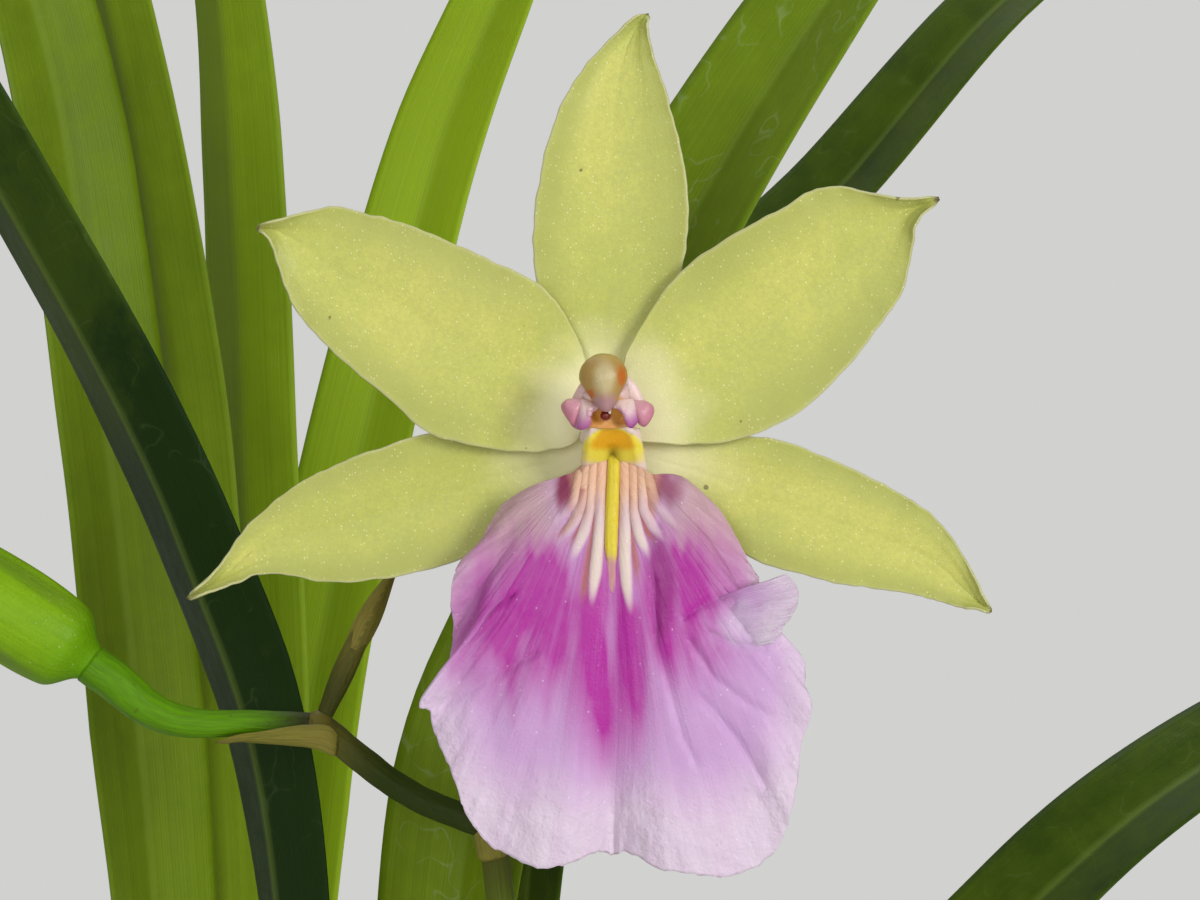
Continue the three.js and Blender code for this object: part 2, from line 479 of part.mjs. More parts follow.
// The lip: rays run from its arched base to the folded margin, and the folds fade towards the base.
function lipPlace() {
  const margin = through(LIP_MARGIN);
  const last = LIP_MARGIN.length - 1;
  const { middle, base, claw, shoulderBulge, groove } = LIP;
  const side = (t) => {
    const i = ((t + 1) / 2) * last;
    return i < middle ? (i - middle) / middle : (i - middle) / (last - middle);
  };
  const place = (s, t) => {
    const c = side(t);
    const v = clamp01((s - 1 / LIP.rows) / (1 - 1 / LIP.rows));
    const blur = LIP.smoothing * (1 - smooth(0.7, 1, v));
    const shares = [-2, -1, 0, 1, 2].map((k) => margin.getPoint(clamp01((t + 1) / 2 + k * blur)));
    const edge = shares.reduce((sum, p) => sum.add(p), new THREE.Vector3()).divideScalar(shares.length);
    const across = mix(base.left, base.right, (c + 1) / 2);
    const root = new THREE.Vector3(across, 0, base.low + base.arch * (1 - c * c));
    const p = root.clone().lerp(edge, v);
    const away = c * c;
    p.y = base.depth - mix(...LIP.swell, away) * v + mix(...LIP.fall, away) * v * v;
    p.y += edge.y * smooth(0.35, 1, v);
    p.y += groove * Math.exp(-((c / 0.06) ** 2)) * smooth(0, 0.5, v);
    p.z += shoulderBulge * 4 * v * (1 - v) * smooth(0.8, 1, Math.abs(c));
    if (s < 1 / LIP.rows) p.y += claw * (1 - s * LIP.rows);
    return p;
  };
  const relief = (s, t) => {
    const v = clamp01((s - 1 / LIP.rows) / (1 - 1 / LIP.rows));
    const c = side(t);
    const ridge = 0.5 - 0.5 * Math.cos(c * Math.PI * LIP.ridges);
    return LIP.ridgeHeight * ridge * (1 - smooth(LIP.ridgeEnd * 0.5, LIP.ridgeEnd, v)) * smooth(0, 0.06, v)
      * (1 - smooth(0.5, 0.8, Math.abs(c)));
  };
  return { place, relief };
}
function lipGeometry() {
  const { place, relief } = lipPlace();
  return blade(LIP.rows, LIP_MARGIN.length - 1, place, LIP_THICK, relief);
}

// The column, leaning out over the lip, with its two ears; the anther cap sits at its end.
function capGeometry(grow) {
  return closed(new THREE.SphereGeometry(1, 12, 8).rotateX(-Math.PI / 2)
    .scale(...CAP.radii.map((radius) => radius + grow)).rotateX(-CAP.lean).translate(...CAP.middle));
}
function columnGeometry() {
  const foot = sweep([[0, 2.3, 0], [0, 0.6, 0], [0, -1.2, -0.2]], 12, 2, [1, 0, 0], round(1.4));
  const shaft = [[0.3, -0.9, -0.5], [0.2, -2.6, 0.4], [0, -4.4, 2.0], [-0.2, -5.9, 3.6]];
  const body = sweep(shaft, 12, 6, [1, 0, 0],
    (s) => [mix(2.1, 1.8, smooth(0, 0.7, s)), mix(1.3, 1.7, s)]);
  const ears = [1, -1].map((sign) => closed(new THREE.SphereGeometry(1, 8, 6).scale(1.25, 0.5, 1.15)
    .rotateY(sign * 0.35).rotateZ(-sign * 0.5).translate(sign * 2.5, -5.0, 1.5)));
  const shelf = closed(new THREE.SphereGeometry(1, 8, 6).scale(1.9, 0.9, 0.5).translate(0.1, -4.4, 0.3));
  return geometryOf(joined([foot, body, ...ears, shelf]).subtract(solid(capGeometry(GAP))));
}

// A pointed bract or sheath that clasps one side of a stalk, whose middle runs from centre(0) to centre(1).
function bract(centre, radius, wrap, side) {
  const along = centre(1).sub(centre(0)).normalize();
  const out = vec(side).addScaledVector(along, -vec(side).dot(along)).normalize();
  const other = new THREE.Vector3().crossVectors(along, out);
  return blade(3, 5, (s, t) => {
    const angle = t * wrap * Math.sqrt(1.02 - s);
    const p = centre(s).addScaledVector(out, radius * Math.cos(angle));
    return p.addScaledVector(other, radius * Math.sin(angle));
  }, BRACT_THICK);
}
const between = (from, to) => (s) => vec(from).lerp(vec(to), s);
const beside = ([x, y, z], across, up) => [x + across, y, z + up];

// The stalk in the pot's frame: its foot, the zigzag rachis with its nodes, its unopened tip and its bracts.
function stalkGeometry() {
  const place = (p) => p.map((x, i) => x + BLOOM[i]);
  const { foot, top, rachis, end, knot } = STALK_RADIUS;
  const [first, second, third, tip] = [RACHIS.first, RACHIS.second, RACHIS.third, RACHIS.tip].map(place);
  const footPath = through(STALK_FOOT);
  const tube = (points, from, to, sides, steps) =>
    sweep(points, sides, steps, STALK_SIDE, (s) => [mix(from, to, s), mix(from, to, s)]);
  const bent = (p, q, sag) => [p, [(p[0] + q[0]) / 2, (p[1] + q[1]) / 2, (p[2] + q[2]) / 2 - sag], q];
  const knots = [first, second, third].map((p, i) =>
    closed(new THREE.SphereGeometry(knot[i], 7, 5).translate(...p)));
  const upBud = (share) => [mix(third[0], tip[0], share), third[1], mix(third[2], tip[2], share)];
  const lastBud = sweep([third, upBud(0.5), tip], 8, 6, STALK_SIDE, (s) => {
    const r = LAST_BUD_RADIUS * Math.sin(Math.PI * mix(0.25, 0.98, s)) + 0.1;
    return [r, r];
  });
  const bracts = [
    bract(between(second, beside(second, -7.8, 0.1)), 1.95, 1.3, [0, -0.3, -1]),
    bract(between(beside(first, 0.6, -2.4), beside(first, -2.4, 4.6)), 1.6, 2, FRONT),
    bract(between(third, upBud(0.8)), 1.2, 1.9, FRONT),
  ];
  const sheaths = SHEATHS.map(([share, long]) => {
    const reach = long / footPath.getLength();
    const centre = (s) => footPath.getPointAt(Math.min(1, share + reach * s));
    return bract(centre, mix(foot, top, share) + 0.15, 2.6, FRONT);
  });
  return geometryOf(joined([
    tube(STALK_FOOT, foot, top, 7, 12), tube(bent(first, second, 1.2), rachis, rachis, 8, 5),
    tube(bent(second, third, 0), end + 0.1, end, 8, 3), lastBud, ...knots, ...bracts, ...sheaths,
  ]));
}

const pedicelGeometry = (points, radii, side) => sweep(points, 10, 10, side, (s) => {
  const r = mix(radii[1], radii[0], smooth(0, 0.5, s)) + (radii[2] - radii[1]) * (1 - smooth(0, 0.12, s));
  return [r, r];
});

// The bud: plump and pointed, with the three seams where its sepals meet.
function budGeometry() {
  const middle = BUD.base.map((x, i) => (x + BUD.tip[i]) / 2 + [0, 0, -0.5][i]);
  return sweep([BUD.base, middle, BUD.tip], 12, 14, [0, 1, 0], (s, angle) => {
    const foot = mix(BUD.foot, 1, smooth(0, 0.1, s) ** 0.6);
    const plump = Math.sin(Math.PI * mix(0.2, 0.985, s) ** 0.86) ** 0.8 * foot;
    const r = BUD.radius * plump * (1 - 0.05 * (0.5 + 0.5 * Math.cos(3 * angle)) * smooth(0.15, 0.4, s));
    return [r, r];
  });
}

// The whole object.
const orchid = new THREE.Group();
const rhizome = rhizomeSolid(0);
const bark = barkSolid().subtract(standingHoles()).subtract(rhizomeSolid(GAP * 2));
orchid.add(
  piece("pot", CLAY, potGeometry()),
  piece("potting_bark", BARK_BROWN, geometryOf(bark.decompose().sort((a, b) => b.volume() - a.volume())[0])),
  piece("rhizome_and_roots", ROOT_PALE, geometryOf(rhizome)),
  ...BULBS.map((bulb) => piece(bulb.name, BULB_GREEN, bulbGeometry(bulb))),
  ...LEAVES.map(([name, width, turns, points]) =>
    piece(name, LEAF_GREEN, leafGeometry(points, width, turns))),
  piece("young_shoot", LEAF_GREEN, shootGeometry()),
  piece("flower_stalk", STALK_GREEN, stalkGeometry()),
);

const bloom = new THREE.Group();
bloom.position.set(...BLOOM);
bloom.add(
  piece("bloom_pedicel", STALK_GREEN, pedicelGeometry(BLOOM_PEDICEL, [1.1, 1.5, 2.5], [1, 0, 0])),
  piece("bud_pedicel", STALK_GREEN, sweep(BUD_PEDICEL, 10, 8, [0, 1, 0], (s) => {
    const r = mix(...BUD_PEDICEL_RADII, s * s);
    return [r, r];
  })),
  piece("bud", BUD_GREEN, budGeometry()),
  ...TEPALS.map((tepal) => piece(tepal.name, PALE_YELLOW, tepalGeometry(tepal))),
  piece("lip", ROSE, lipGeometry()),
  piece("column", COLUMN_PINK, columnGeometry()),
  piece("anther_cap", CAP_CREAM, capGeometry(0)),
);
orchid.add(bloom);

export default orchid;
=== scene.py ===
"""The finished look of a potted orchid in bloom, built round its packed model.

Shapes are worked out in millimetres and put in the scene in metres. Places in the bloom are given from BLOOM,
the point where its tepals meet, as across, back and up.
"""
import bisect
import functools
import math
import random

import bmesh
import bpy
from bpy.props import FloatProperty, FloatVectorProperty, IntProperty, PointerProperty
from mathutils import Matrix, Quaternion, Vector, noise


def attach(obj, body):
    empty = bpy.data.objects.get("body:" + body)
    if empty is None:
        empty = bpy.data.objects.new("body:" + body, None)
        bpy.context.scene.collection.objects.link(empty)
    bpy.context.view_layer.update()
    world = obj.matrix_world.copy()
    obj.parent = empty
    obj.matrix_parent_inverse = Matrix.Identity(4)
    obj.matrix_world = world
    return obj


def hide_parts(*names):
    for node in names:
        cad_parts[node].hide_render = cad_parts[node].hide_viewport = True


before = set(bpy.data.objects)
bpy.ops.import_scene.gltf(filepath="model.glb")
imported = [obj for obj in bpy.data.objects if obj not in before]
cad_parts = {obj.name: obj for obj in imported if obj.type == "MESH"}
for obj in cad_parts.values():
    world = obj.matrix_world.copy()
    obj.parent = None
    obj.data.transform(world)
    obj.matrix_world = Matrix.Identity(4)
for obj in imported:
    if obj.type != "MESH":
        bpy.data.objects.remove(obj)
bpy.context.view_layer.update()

bl_info = {
    "name": "Potted orchid",
    "version": (1, 0, 0),
    "blender": (4, 5, 0),
    "location": "3D View > Sidebar > Orchid",
    "description": "Builds the finished pieces of a potted orchid in bloom round its packed model",
    "category": "Object",
}

MM = 0.001
BODY = "root"

# The bloom's middle, and the camera in front of it.
BLOOM = Vector((18, -58, 342))
CAMERA_PLACE = Vector((17.6, -408, 340.56))
CAMERA_LENS = 131.25
CAMERA_SENSOR = 36.0

# The pot's outline, and the bark in it.
POT = {"height": 110, "foot": 41, "wall_top": 86, "wall_radius": 57, "rim_radius": 64, "wall": 4.6,
       "floor": 7}
DRAIN = {"radius": 5, "ring": 24, "count": 4}
BARK_TOP = 95
RHIZOME_RADIUS = 3.2
RHIZOME_Z = 97
RHIZOME_TOP = RHIZOME_Z + RHIZOME_RADIUS
ROOT_RADIUS = 1.1
CHIP_SEED = 11  # starts the draws and the noise that shape the chips, so that each run gives the same ones

# Each pseudobulb: the node it stands for, its foot, its neck and the way its wide side runs, in degrees.
BULB = {"wide": 9.8, "thick": 5.6, "neck": 4.6, "ribs": 6, "rib_depth": 0.045, "sheath": 38}
BULBS = [
    ("pseudobulb_front", (-3, -14), (-3, -17, 178), 8),
    ("pseudobulb_middle", (12, 3), (12, 2, 176), -6),
    ("pseudobulb_left", (-16, 7), (-15, 6, 176), 20),
    ("pseudobulb_back", (-26, 27), (-25, 27, 168), 42),
    ("pseudobulb_right", (36, 5), (36, 5, 166), 10),
]

# Each leaf: the node it stands for, its width, its turn about the midrib at base, middle and tip in degrees,
# how fresh and how lit its green is from 0 to 1, the light and shade painted in, and its midrib from base to
# tip.
LEAVES = [
    ("leaf_front_left", 13.5, (0, 40, 26), 0.02,
     [(-6.4, -17, 178.6), (-8.4, -24, 235), (-10.2, -31, 301.8), (-18.4, -34, 332.9), (-34.4, -33, 363.7),
      (-47.4, -31, 383), (-67, -27, 400), (-92, -21, 411), (-118, -14, 405)]),
    ("leaf_front_right", 15, (0, 74, 44), 0.5,
     [(0.8, -17, 178.6), (1.8, -23, 235), (5.6, -33, 303.6), (12.8, -34, 327.7), (22.6, -34, 355),
      (37.4, -33, 379.4), (50, -34, 394), (70, -37, 406), (93, -40, 408)]),
    ("leaf_middle_up", 11, (0, 40, 30), 0.12,
     [(9.4, 2, 176.6), (9.4, 3, 235), (11, 4, 300.1), (17.6, 4, 330.2), (26.6, 4, 350.9), (40.6, 5, 365.6),
      (56.2, 7, 383.2), (74, 12, 395), (95, 17, 400), (116, 24, 394)]),
    ("leaf_middle_right", 14, (0, 46, 10), 0.1,
     [(15, 2, 176.6), (19, 1, 215), (28.5, 0, 250), (42, -1, 279), (56.8, -2, 297.2), (73.6, -2, 311),
      (92, -1, 320), (116, 0, 323), (140, 2, 312)]),
    ("leaf_left_out", 14.5, (0, -50, -42), 0.45,
     [(-18, 5, 176.6), (-21, 8, 235), (-25.2, 10, 297.6), (-30.2, 10, 345.3), (-36.8, 10, 383.6),
      (-51, 7, 418), (-67, 4, 428), (-85, 0, 428)]),
    ("leaf_left_in", 12.5, (0, 70, 62), 0.55,
     [(-12.2, 7, 176.6), (-16, 14, 235), (-20, 18, 296.7), (-23.9, 18, 345.4), (-30.6, 19, 384.5),
      (-37, 21, 404), (-47, 23, 418), (-62, 26, 428)]),
    ("leaf_back_left", 12.5, (0, 80, 74), 0.75,
     [(-27.6, 24.6, 168.6), (-23, 27, 235), (-17.1, 29, 295.6), (-18, 29, 340.6), (-20.4, 30, 385.6),
      (-25, 31, 405), (-32, 33, 424), (-44, 36, 438)]),
    ("leaf_back_right", 12, (0, 62, 28), 1.0,
     [(-22, 29.4, 168.6), (-18, 37, 235), (-14.4, 41, 294.4), (-10.2, 41, 325.2), (-0.4, 41, 366.2),
      (7.2, 41, 386.7), (15, 42, 404), (25, 44, 422), (39, 48, 436)]),
    ("leaf_right_back", 14, (0, 6, 4), 0.4,
     [(39, 6.4, 166.6), (46, 10, 215), (66, 18, 255), (98, 29, 276), (134, 42, 268), (160, 52, 240)]),
    ("leaf_right_front", 13.5, (0, 8, 4), 0.45,
     [(33, 3.6, 166.6), (38, -10, 215), (49, -36, 250), (65, -72, 262), (83, -108, 244), (97, -136, 212)]),
    ("leaf_base_back_left", 12, (0, 4, 6), 0.35,
     [(-35, 19, 103), (-41, 18, 150), (-60, 29, 194), (-84, 46, 214), (-108, 60, 208), (-126, 70, 190)]),
    ("leaf_base_left", 12.5, (0, -6, -4), 0.5,
     [(-28, 2, 103), (-36, -2, 150), (-52, -9, 190), (-77, -19, 212), (-105, -28, 210), (-127, -34, 190)]),
    ("leaf_base_back", 12.5, (0, 5, 0), 0.4,
     [(3, 13.5, 103), (3, 21, 150), (7, 42, 200), (13, 74, 228), (19, 108, 222), (24, 134, 196)]),
    ("leaf_base_right", 12, (0, -5, 0), 0.6,
     [(48, 9.2, 103), (57, 5, 150), (74, -4, 186), (100, -14, 200), (126, -24, 186)]),
    ("leaf_base_far_back", 11.5, (0, -4, 0), 0.35,
     [(-15.4, 36, 103), (-13, 46, 150), (-9, 71, 196), (-2, 100, 220), (5, 130, 212), (10, 152, 188)]),
]
LEAF = {"base_width": 0.42, "base_fold": 1.25, "fold": 0.3, "round": 0.05}

# The young shoot's blades: lean from upright in degrees, length, width and step along the fan.
SHOOT = {"at": (-28, -27, 100.6), "plane": 186,
         "blades": [(34, 74, 9, 4.2), (13, 118, 11, 1.4), (-7, 104, 10.5, -1.4), (-24, 58, 8.5, -4)]}

# The tepals: depth of the base, reach of the tip, hollow across, hollow at the tip, and both edges from base
# to tip as (across, up).
TEPALS = {
    "dorsal_sepal": (2.0, 0.6, -0.9, -0.7,
        [(-0.8, 2.1), (-2.0, 6.2), (-4.2, 9.1), (-5.4, 11.9), (-5.8, 15.4), (-5.4, 19.4), (-4.5, 23.6),
         (-2.9, 27.5), (-0.8, 30.3), (1.9, 33.0), (3.2, 33.8)],
        [(0.8, 2.1), (1.9, 6.6), (4.3, 9.6), (5.9, 12.4), (6.6, 15.8), (6.6, 19.8), (5.9, 23.6), (4.9, 27.4),
         (3.9, 30.2), (3.4, 32.6), (3.7, 33.5)]),
    "petal_left": (0.6, -1.2, -0.7, -1.0,
        [(-1.4, 1.8), (-1.6, 5.8), (-3.0, 9.0), (-5.0, 11.6), (-8.6, 13.5), (-12.2, 15.1), (-15.8, 16.6),
         (-18.9, 17.4), (-21.4, 18.0), (-23.6, 17.6), (-26.0, 16.9), (-27.8, 16.5)],
        [(-2.2, -0.6), (-3.2, -1.2), (-6.2, -1.6), (-10.4, -1.1), (-14.2, 0), (-17.3, 2.7), (-20.5, 5.3),
         (-23.2, 7.9), (-25.0, 10.3), (-26.0, 13.1), (-26.8, 15.4), (-27.8, 16.1)]),
    "petal_right": (0.6, -1.4, -0.7, -1.0,
        [(1.4, 1.8), (1.6, 5.8), (3.0, 8.6), (4.8, 11.4), (7.5, 14.0), (11.0, 16.2), (14.2, 17.9),
         (16.3, 19.2), (18.6, 19.6), (21.1, 19.1), (23.8, 18.6), (26.6, 18.8)],
        [(2.2, -0.6), (3.2, -0.8), (6.6, -1.0), (10.2, -0.7), (13.4, 0.4), (16.8, 2.6), (19.8, 5.8),
         (22.1, 8.8), (23.8, 11.3), (24.5, 14.6), (24.9, 16.8), (26.7, 18.4)]),
    "lateral_sepal_left": (2.0, -0.4, -0.6, -1.1,
        [(-2.0, -0.2), (-3.4, -0.5), (-7.0, -0.3), (-11.0, 0), (-14.6, -0.2), (-17.8, -1.2), (-21.0, -2.4),
         (-24.0, -3.8), (-26.6, -5.6), (-28.9, -7.8), (-30.6, -10.3), (-32.2, -12.1), (-33.6, -13.2)],
        [(-0.8, -2.1), (-1.9, -3.3), (-5.0, -5.3), (-8.2, -7.6), (-11.4, -10.1), (-15.4, -11.3),
         (-19.0, -11.9), (-22.6, -12.0), (-25.4, -11.5), (-27.7, -11.4), (-29.8, -12.2), (-32.0, -12.9),
         (-33.6, -13.6)]),
    "lateral_sepal_right": (2.0, -0.8, -0.6, -0.8,
        [(2.0, -0.2), (3.2, -0.5), (6.6, -0.5), (10.6, -0.3), (14.2, -0.7), (17.7, -2.0), (20.8, -3.4),
         (23.8, -5.0), (26.2, -6.6), (27.9, -8.6), (29.4, -11.2), (30.4, -13.3), (31.0, -14.2)],
        [(0.8, -2.1), (2.2, -3.0), (5.1, -4.9), (8.3, -7.4), (11.9, -10.2), (15.4, -11.3), (19.0, -12.2),
         (22.0, -12.6), (24.6, -13.0), (26.6, -13.5), (28.3, -14.0), (29.9, -14.2), (31.0, -14.6)]),
}

# The lip's margin from its upper left corner round the bottom to its upper right one, as (across, back, up),
# and the two edges of the fold that stands forward at its right.
LIP_MARGIN = [
    (-8.3, 0.3, -5.9), (-9.1, 0.5, -7.2), (-10.1, 0.3, -8.9), (-11.4, -0.2, -10.2), (-12.1, -0.4, -11.8),
    (-12.3, 0.2, -13.6), (-12.1, 1.1, -15.6), (-12.3, 1.4, -17.7), (-12.7, 0.7, -19.5), (-14.1, -0.6, -20.5),
    (-14.7, -1.0, -21.7), (-13.9, -0.2, -22.2), (-13.7, 0.7, -23.5), (-12.8, 0.2, -25.6),
    (-11.8, -0.3, -28.0), (-11.0, 0.2, -30.4), (-9.4, 0.5, -32.6), (-7.4, 0, -33.7), (-5.0, -0.5, -34.6),
    (-2.6, -0.2, -34.1), (-0.6, 0.4, -33.4), (0.6, 0.9, -33.7), (1.9, 0.3, -33.4), (4.3, -0.4, -34.6),
    (7.0, -0.5, -35.0), (9.6, 0, -35.3), (12.2, 0.5, -34.4), (13.8, 0.4, -32.9), (14.6, -0.2, -30.6),
    (15.2, -0.3, -28.2), (15.5, 0.3, -25.3), (16.4, -0.3, -21.9), (15.9, 0, -20.2), (15.8, 0.4, -18.2),
    (14.6, 0.9, -17.0), (12.9, 1.3, -17.0), (12.3, 1.0, -15.6), (12.4, 0.9, -14.2), (12.4, 0.8, -12.9),
    (12.3, 0.7, -11.8), (11.4, 0.4, -10.3), (10.4, 0, -8.3), (9.0, -0.2, -6.1), (7.2, 0, -4.4),
]
FLAP_TOP = [(6.0, -2.8, -14.4), (8.2, -2.9, -13.4), (10.4, -2.7, -12.6), (12.6, -2.4, -11.9),
            (14.3, -2.1, -11.3)]
FLAP_FOOT = [(6.0, -2.8, -16.8), (8.2, -2.9, -17.4), (10.4, -2.9, -17.4), (12.2, -2.9, -17.0),
             (13.4, -2.9, -16.7)]
LIP_MIDDLE = 21  # the margin point at the foot of the middle groove
LIP_BASE = {"left": -2.5, "right": 3.4, "low": -3.6, "arch": 1.7, "depth": -1.9, "claw": 2.3}
LIP_CLAW_SHARE = 1 / 8  # of the lip's rows, how many run back under the column
LIP_SMOOTHING = 0.04  # how far along the margin its folds are evened out inside it

# Marks on the lip: each is a line of (across, up, half width), strongest on the line.
LIP_KEEL = [(0.72, -1.6, 0.42), (0.66, -3.6, 0.46), (0.55, -6.2, 0.52), (0.48, -9, 0.54), (0.52, -10.4, 0.36),
            (0.58, -12.5, 0.18)]
LIP_RIDGES = [  # the inner one of each side first
    [(-0.2, -2.0, 0.36), (-0.3, -3.2, 0.36), (-0.45, -7.1, 0.4), (-0.6, -9.2, 0.52), (-0.77, -11.1, 0.62),
     (-1.04, -13.1, 0.46), (-1.2, -14.6, 0.2)],
    [(-0.9, -2.4, 0.34), (-1.02, -3.2, 0.36), (-1.19, -6.2, 0.38), (-1.66, -7.9, 0.5), (-2.41, -9.6, 0.52),
     (-3.2, -11, 0.3)],
    [(-1.5, -2.9, 0.3), (-1.63, -3.7, 0.32), (-1.82, -5.5, 0.34), (-2.32, -6.9, 0.44), (-3.05, -8.0, 0.48),
     (-4.3, -9.3, 0.3)],
    [(-2.0, -3.4, 0.3), (-2.19, -4.2, 0.32), (-2.46, -5.5, 0.34), (-3.2, -6.4, 0.44), (-4.9, -8.0, 0.34)],
    [(1.54, -2.0, 0.36), (1.57, -3.2, 0.38), (1.6, -6.2, 0.4), (1.61, -8.6, 0.48), (1.58, -10.1, 0.56),
     (1.73, -12.1, 0.56), (2.0, -14.0, 0.4), (2.1, -15.2, 0.2)],
    [(2.18, -2.4, 0.34), (2.25, -3.7, 0.36), (2.23, -6.2, 0.38), (2.65, -8.1, 0.46), (3.19, -9.3, 0.48),
     (3.8, -10.8, 0.3)],
    [(2.78, -2.8, 0.32), (2.89, -3.7, 0.34), (3.04, -6.2, 0.38), (3.92, -7.7, 0.48), (5.2, -9.3, 0.32)],
    [(3.3, -3.2, 0.34), (3.48, -3.9, 0.36), (4.0, -5.7, 0.42), (5.05, -6.9, 0.46), (6.6, -8.3, 0.32)],
]
LIP_SEAMS = [  # brown lines beside the inner ridges
    [(-0.85, -5.2, 0.26), (-0.95, -7.8, 0.4), (-1.3, -10, 0.56), (-1.65, -12.4, 0.6), (-1.85, -14, 0.5)],
    [(1.98, -4.6, 0.24), (2.02, -6.6, 0.34), (2.15, -8.6, 0.46), (2.45, -10.6, 0.56), (2.65, -12.6, 0.56)],
    [(-1.35, -4.4, 0.22), (-1.5, -6.4, 0.3), (-2.15, -8, 0.42), (-3.1, -9.4, 0.5)],
    [(2.6, -4.4, 0.22), (2.66, -6.2, 0.3), (3.25, -7.8, 0.44), (4.1, -9.0, 0.5)],
    [(-1.75, -4.6, 0.2), (-2.1, -6.4, 0.28), (-2.8, -7.4, 0.4), (-4.2, -8.8, 0.5)],
    [(1.12, -3.2, 0.16), (1.08, -6.6, 0.2), (1.05, -9.4, 0.2)],
]
LIP_STREAKS = [
    [(-4.3, -9.2, 1.3), (-4.1, -12.6, 1.6), (-4.1, -15.6, 1.4), (-3.9, -18.6, 1.0), (-3.7, -21.4, 0.6)],
    [(-5.0, -10.6, 1.6), (-6.8, -13.7, 2.2), (-8.6, -16.3, 2.2), (-10.2, -19, 1.2)],
    [(-1.7, -13.4, 1.2), (-1.15, -16.3, 1.6), (-0.6, -19.3, 1.4), (-0.1, -22.3, 1.0), (0.1, -25.4, 0.6)],
    [(2.2, -14.4, 1.2), (2.2, -17.5, 1.5), (2.6, -20.8, 1.2), (3.1, -24.6, 0.6)],
    [(4.1, -9.8, 1.7), (4.5, -12.6, 2.0), (4.5, -15.6, 1.5), (5.0, -18.6, 1.0), (6.1, -22.8, 0.6)],
    [(6.0, -9.8, 1.7), (7.1, -12.6, 2.1), (7.1, -15.4, 1.4)],
]
LIP_DUSK = [[(3.9, -8.0, 1.2), (4.6, -11.4, 1.7), (4.5, -15, 1.2), (4.2, -18.6, 0.6)]]  # dark purple
LIP_CREASES = [  # these are sunk
    [(3.9, -11.6, 0.6), (4.1, -16.6, 0.7), (4.9, -19.4, 0.7), (6.2, -24.2, 0.5), (7.2, -26.4, 0.4)],
    [(12.6, -12.1, 0.6), (9.2, -13.1, 0.8), (7.4, -13.9, 0.7), (6.2, -14.8, 0.4)],
    [(-12.2, -16.6, 0.7), (-10.6, -15.0, 0.9), (-8.6, -13.7, 0.7), (-7.2, -13.0, 0.4)],
    [(-13.2, -21.6, 0.7), (-10.8, -20.4, 0.9), (-7.6, -18.6, 0.8), (-5.4, -17.6, 0.4)],
    [(12.6, -17.0, 0.6), (10.0, -16.8, 0.7), (8.2, -15.8, 0.4)],
    [(6.8, -16.6, 0.6), (8.8, -19.6, 0.7), (11.4, -21.6, 0.7), (13.2, -22.6, 0.4)],
    [(7.6, -21.0, 0.6), (10.6, -24.4, 0.7), (12.8, -28.2, 0.5)],
]

# The flower stalk: its foot in the pot's frame, its zigzag upper part in the bloom's, the foot's radii at its
# two ends and the radii of the two nodes.
STALK_FOOT = [(5.4, -24.4, 100.8), (9.5, -27, 140), (13.6, -32, 205), (13.4, -38, 262), (8.6, -43, 309)]
RACHIS = [(-9.4, 15, -33), (-23.7, 14, -24.4), (-20.5, 14.5, -17), (-16.6, 15.4, -9.6)]
STALK_RADII = (2.1, 1.15)
KNOT_RADII = (1.36, 1.3)
# Each sheath: where along the foot it starts, from 0 to 1, and its length.
STALK_SHEATHS = [(0.1, 27), (0.36, 25), (0.62, 22), (0.84, 17)]
# The middle lines of the two bracts, from the bends that they grow at.
LOWER_BRACT = [(0.3, 0, -2.6), (-1.2, 0, 2.8)]
UPPER_BRACT = [(1.6, 0, -1.5), (0.2, -0.1, -0.5), (-3.4, -0.1, -0.1), (-8.4, -0.1, 0.2)]

# The two pedicels and the bud, in the bloom's frame.
BLOOM_PEDICEL = [(0.2, 3, -0.4), (0, 7, -0.7), (-0.9, 11.6, -3.2), (-3.4, 14.6, -10), (-6.2, 15.6, -20),
                 (-8.2, 15, -29.8), (-9.1, 15, -32)]
BUD_PEDICEL = [(-24.2, 14, -24.3), (-26, 14, -24.2), (-29.5, 14, -24.1), (-32.8, 13.8, -24.2),
               (-35.6, 13.8, -23.9), (-38, 13.8, -22.9), (-39.9, 13.8, -21.4), (-41.1, 13.8, -20.4),
               (-42, 13.8, -19.8), (-42.8, 13.8, -19.2)]
BUD_BASE = Vector((-42.7, 13.8, -19.2))
BUD_TIP = Vector((-63.6, 13, -4.4))
BUD_RADIUS = 4.2

# The rhizome's three runs and the roots that leave it, each a list of points on the bark.
RHIZOME_RUNS = [
    [(-33, 34), (-26, 27), (-16, 7), (-3, -14), (4.6, -23.4)],
    [(-16, 7), (-2, 6), (12, 3), (36, 5), (43, 6)],
    [(-3, -14), (-16, -24), (-28, -27)],
]
ROOTS = [
    [(-30, 30), (-42, 24), (-46, 8), (-43, -8)], [(-24, 26), (-16, 40), (-4, 44), (4, 45)],
    [(24, 5), (24, 22), (33, 33), (33, 39)], [(40, 6), (44, -12), (37, -28), (30, -33)],
    [(1, -18), (12, -34), (19, -40), (24, -43)], [(-12, -22), (-15, -32), (-21, -38), (-26, -42)],
]


# Settings that a user would change.

def linear(code):
    """A colour written as six hex digits, as the linear values that a shader takes."""
    parts = [int(code[i : i + 2], 16) / 255 for i in (0, 2, 4)]
    return tuple(p / 12.92 if p <= 0.04045 else ((p + 0.055) / 1.055) ** 2.4 for p in parts)


def colour(name, code, description):
    """A colour setting whose default is a hex code."""
    return FloatVectorProperty(name=name, description=description, default=linear(code), size=3, min=0, max=1,
                               subtype="COLOR")


def length(name, mm, description):
    """A length setting whose default is in millimetres."""
    return FloatProperty(name=name, description=description, default=mm * MM, min=0, unit="LENGTH",
                         precision=5)


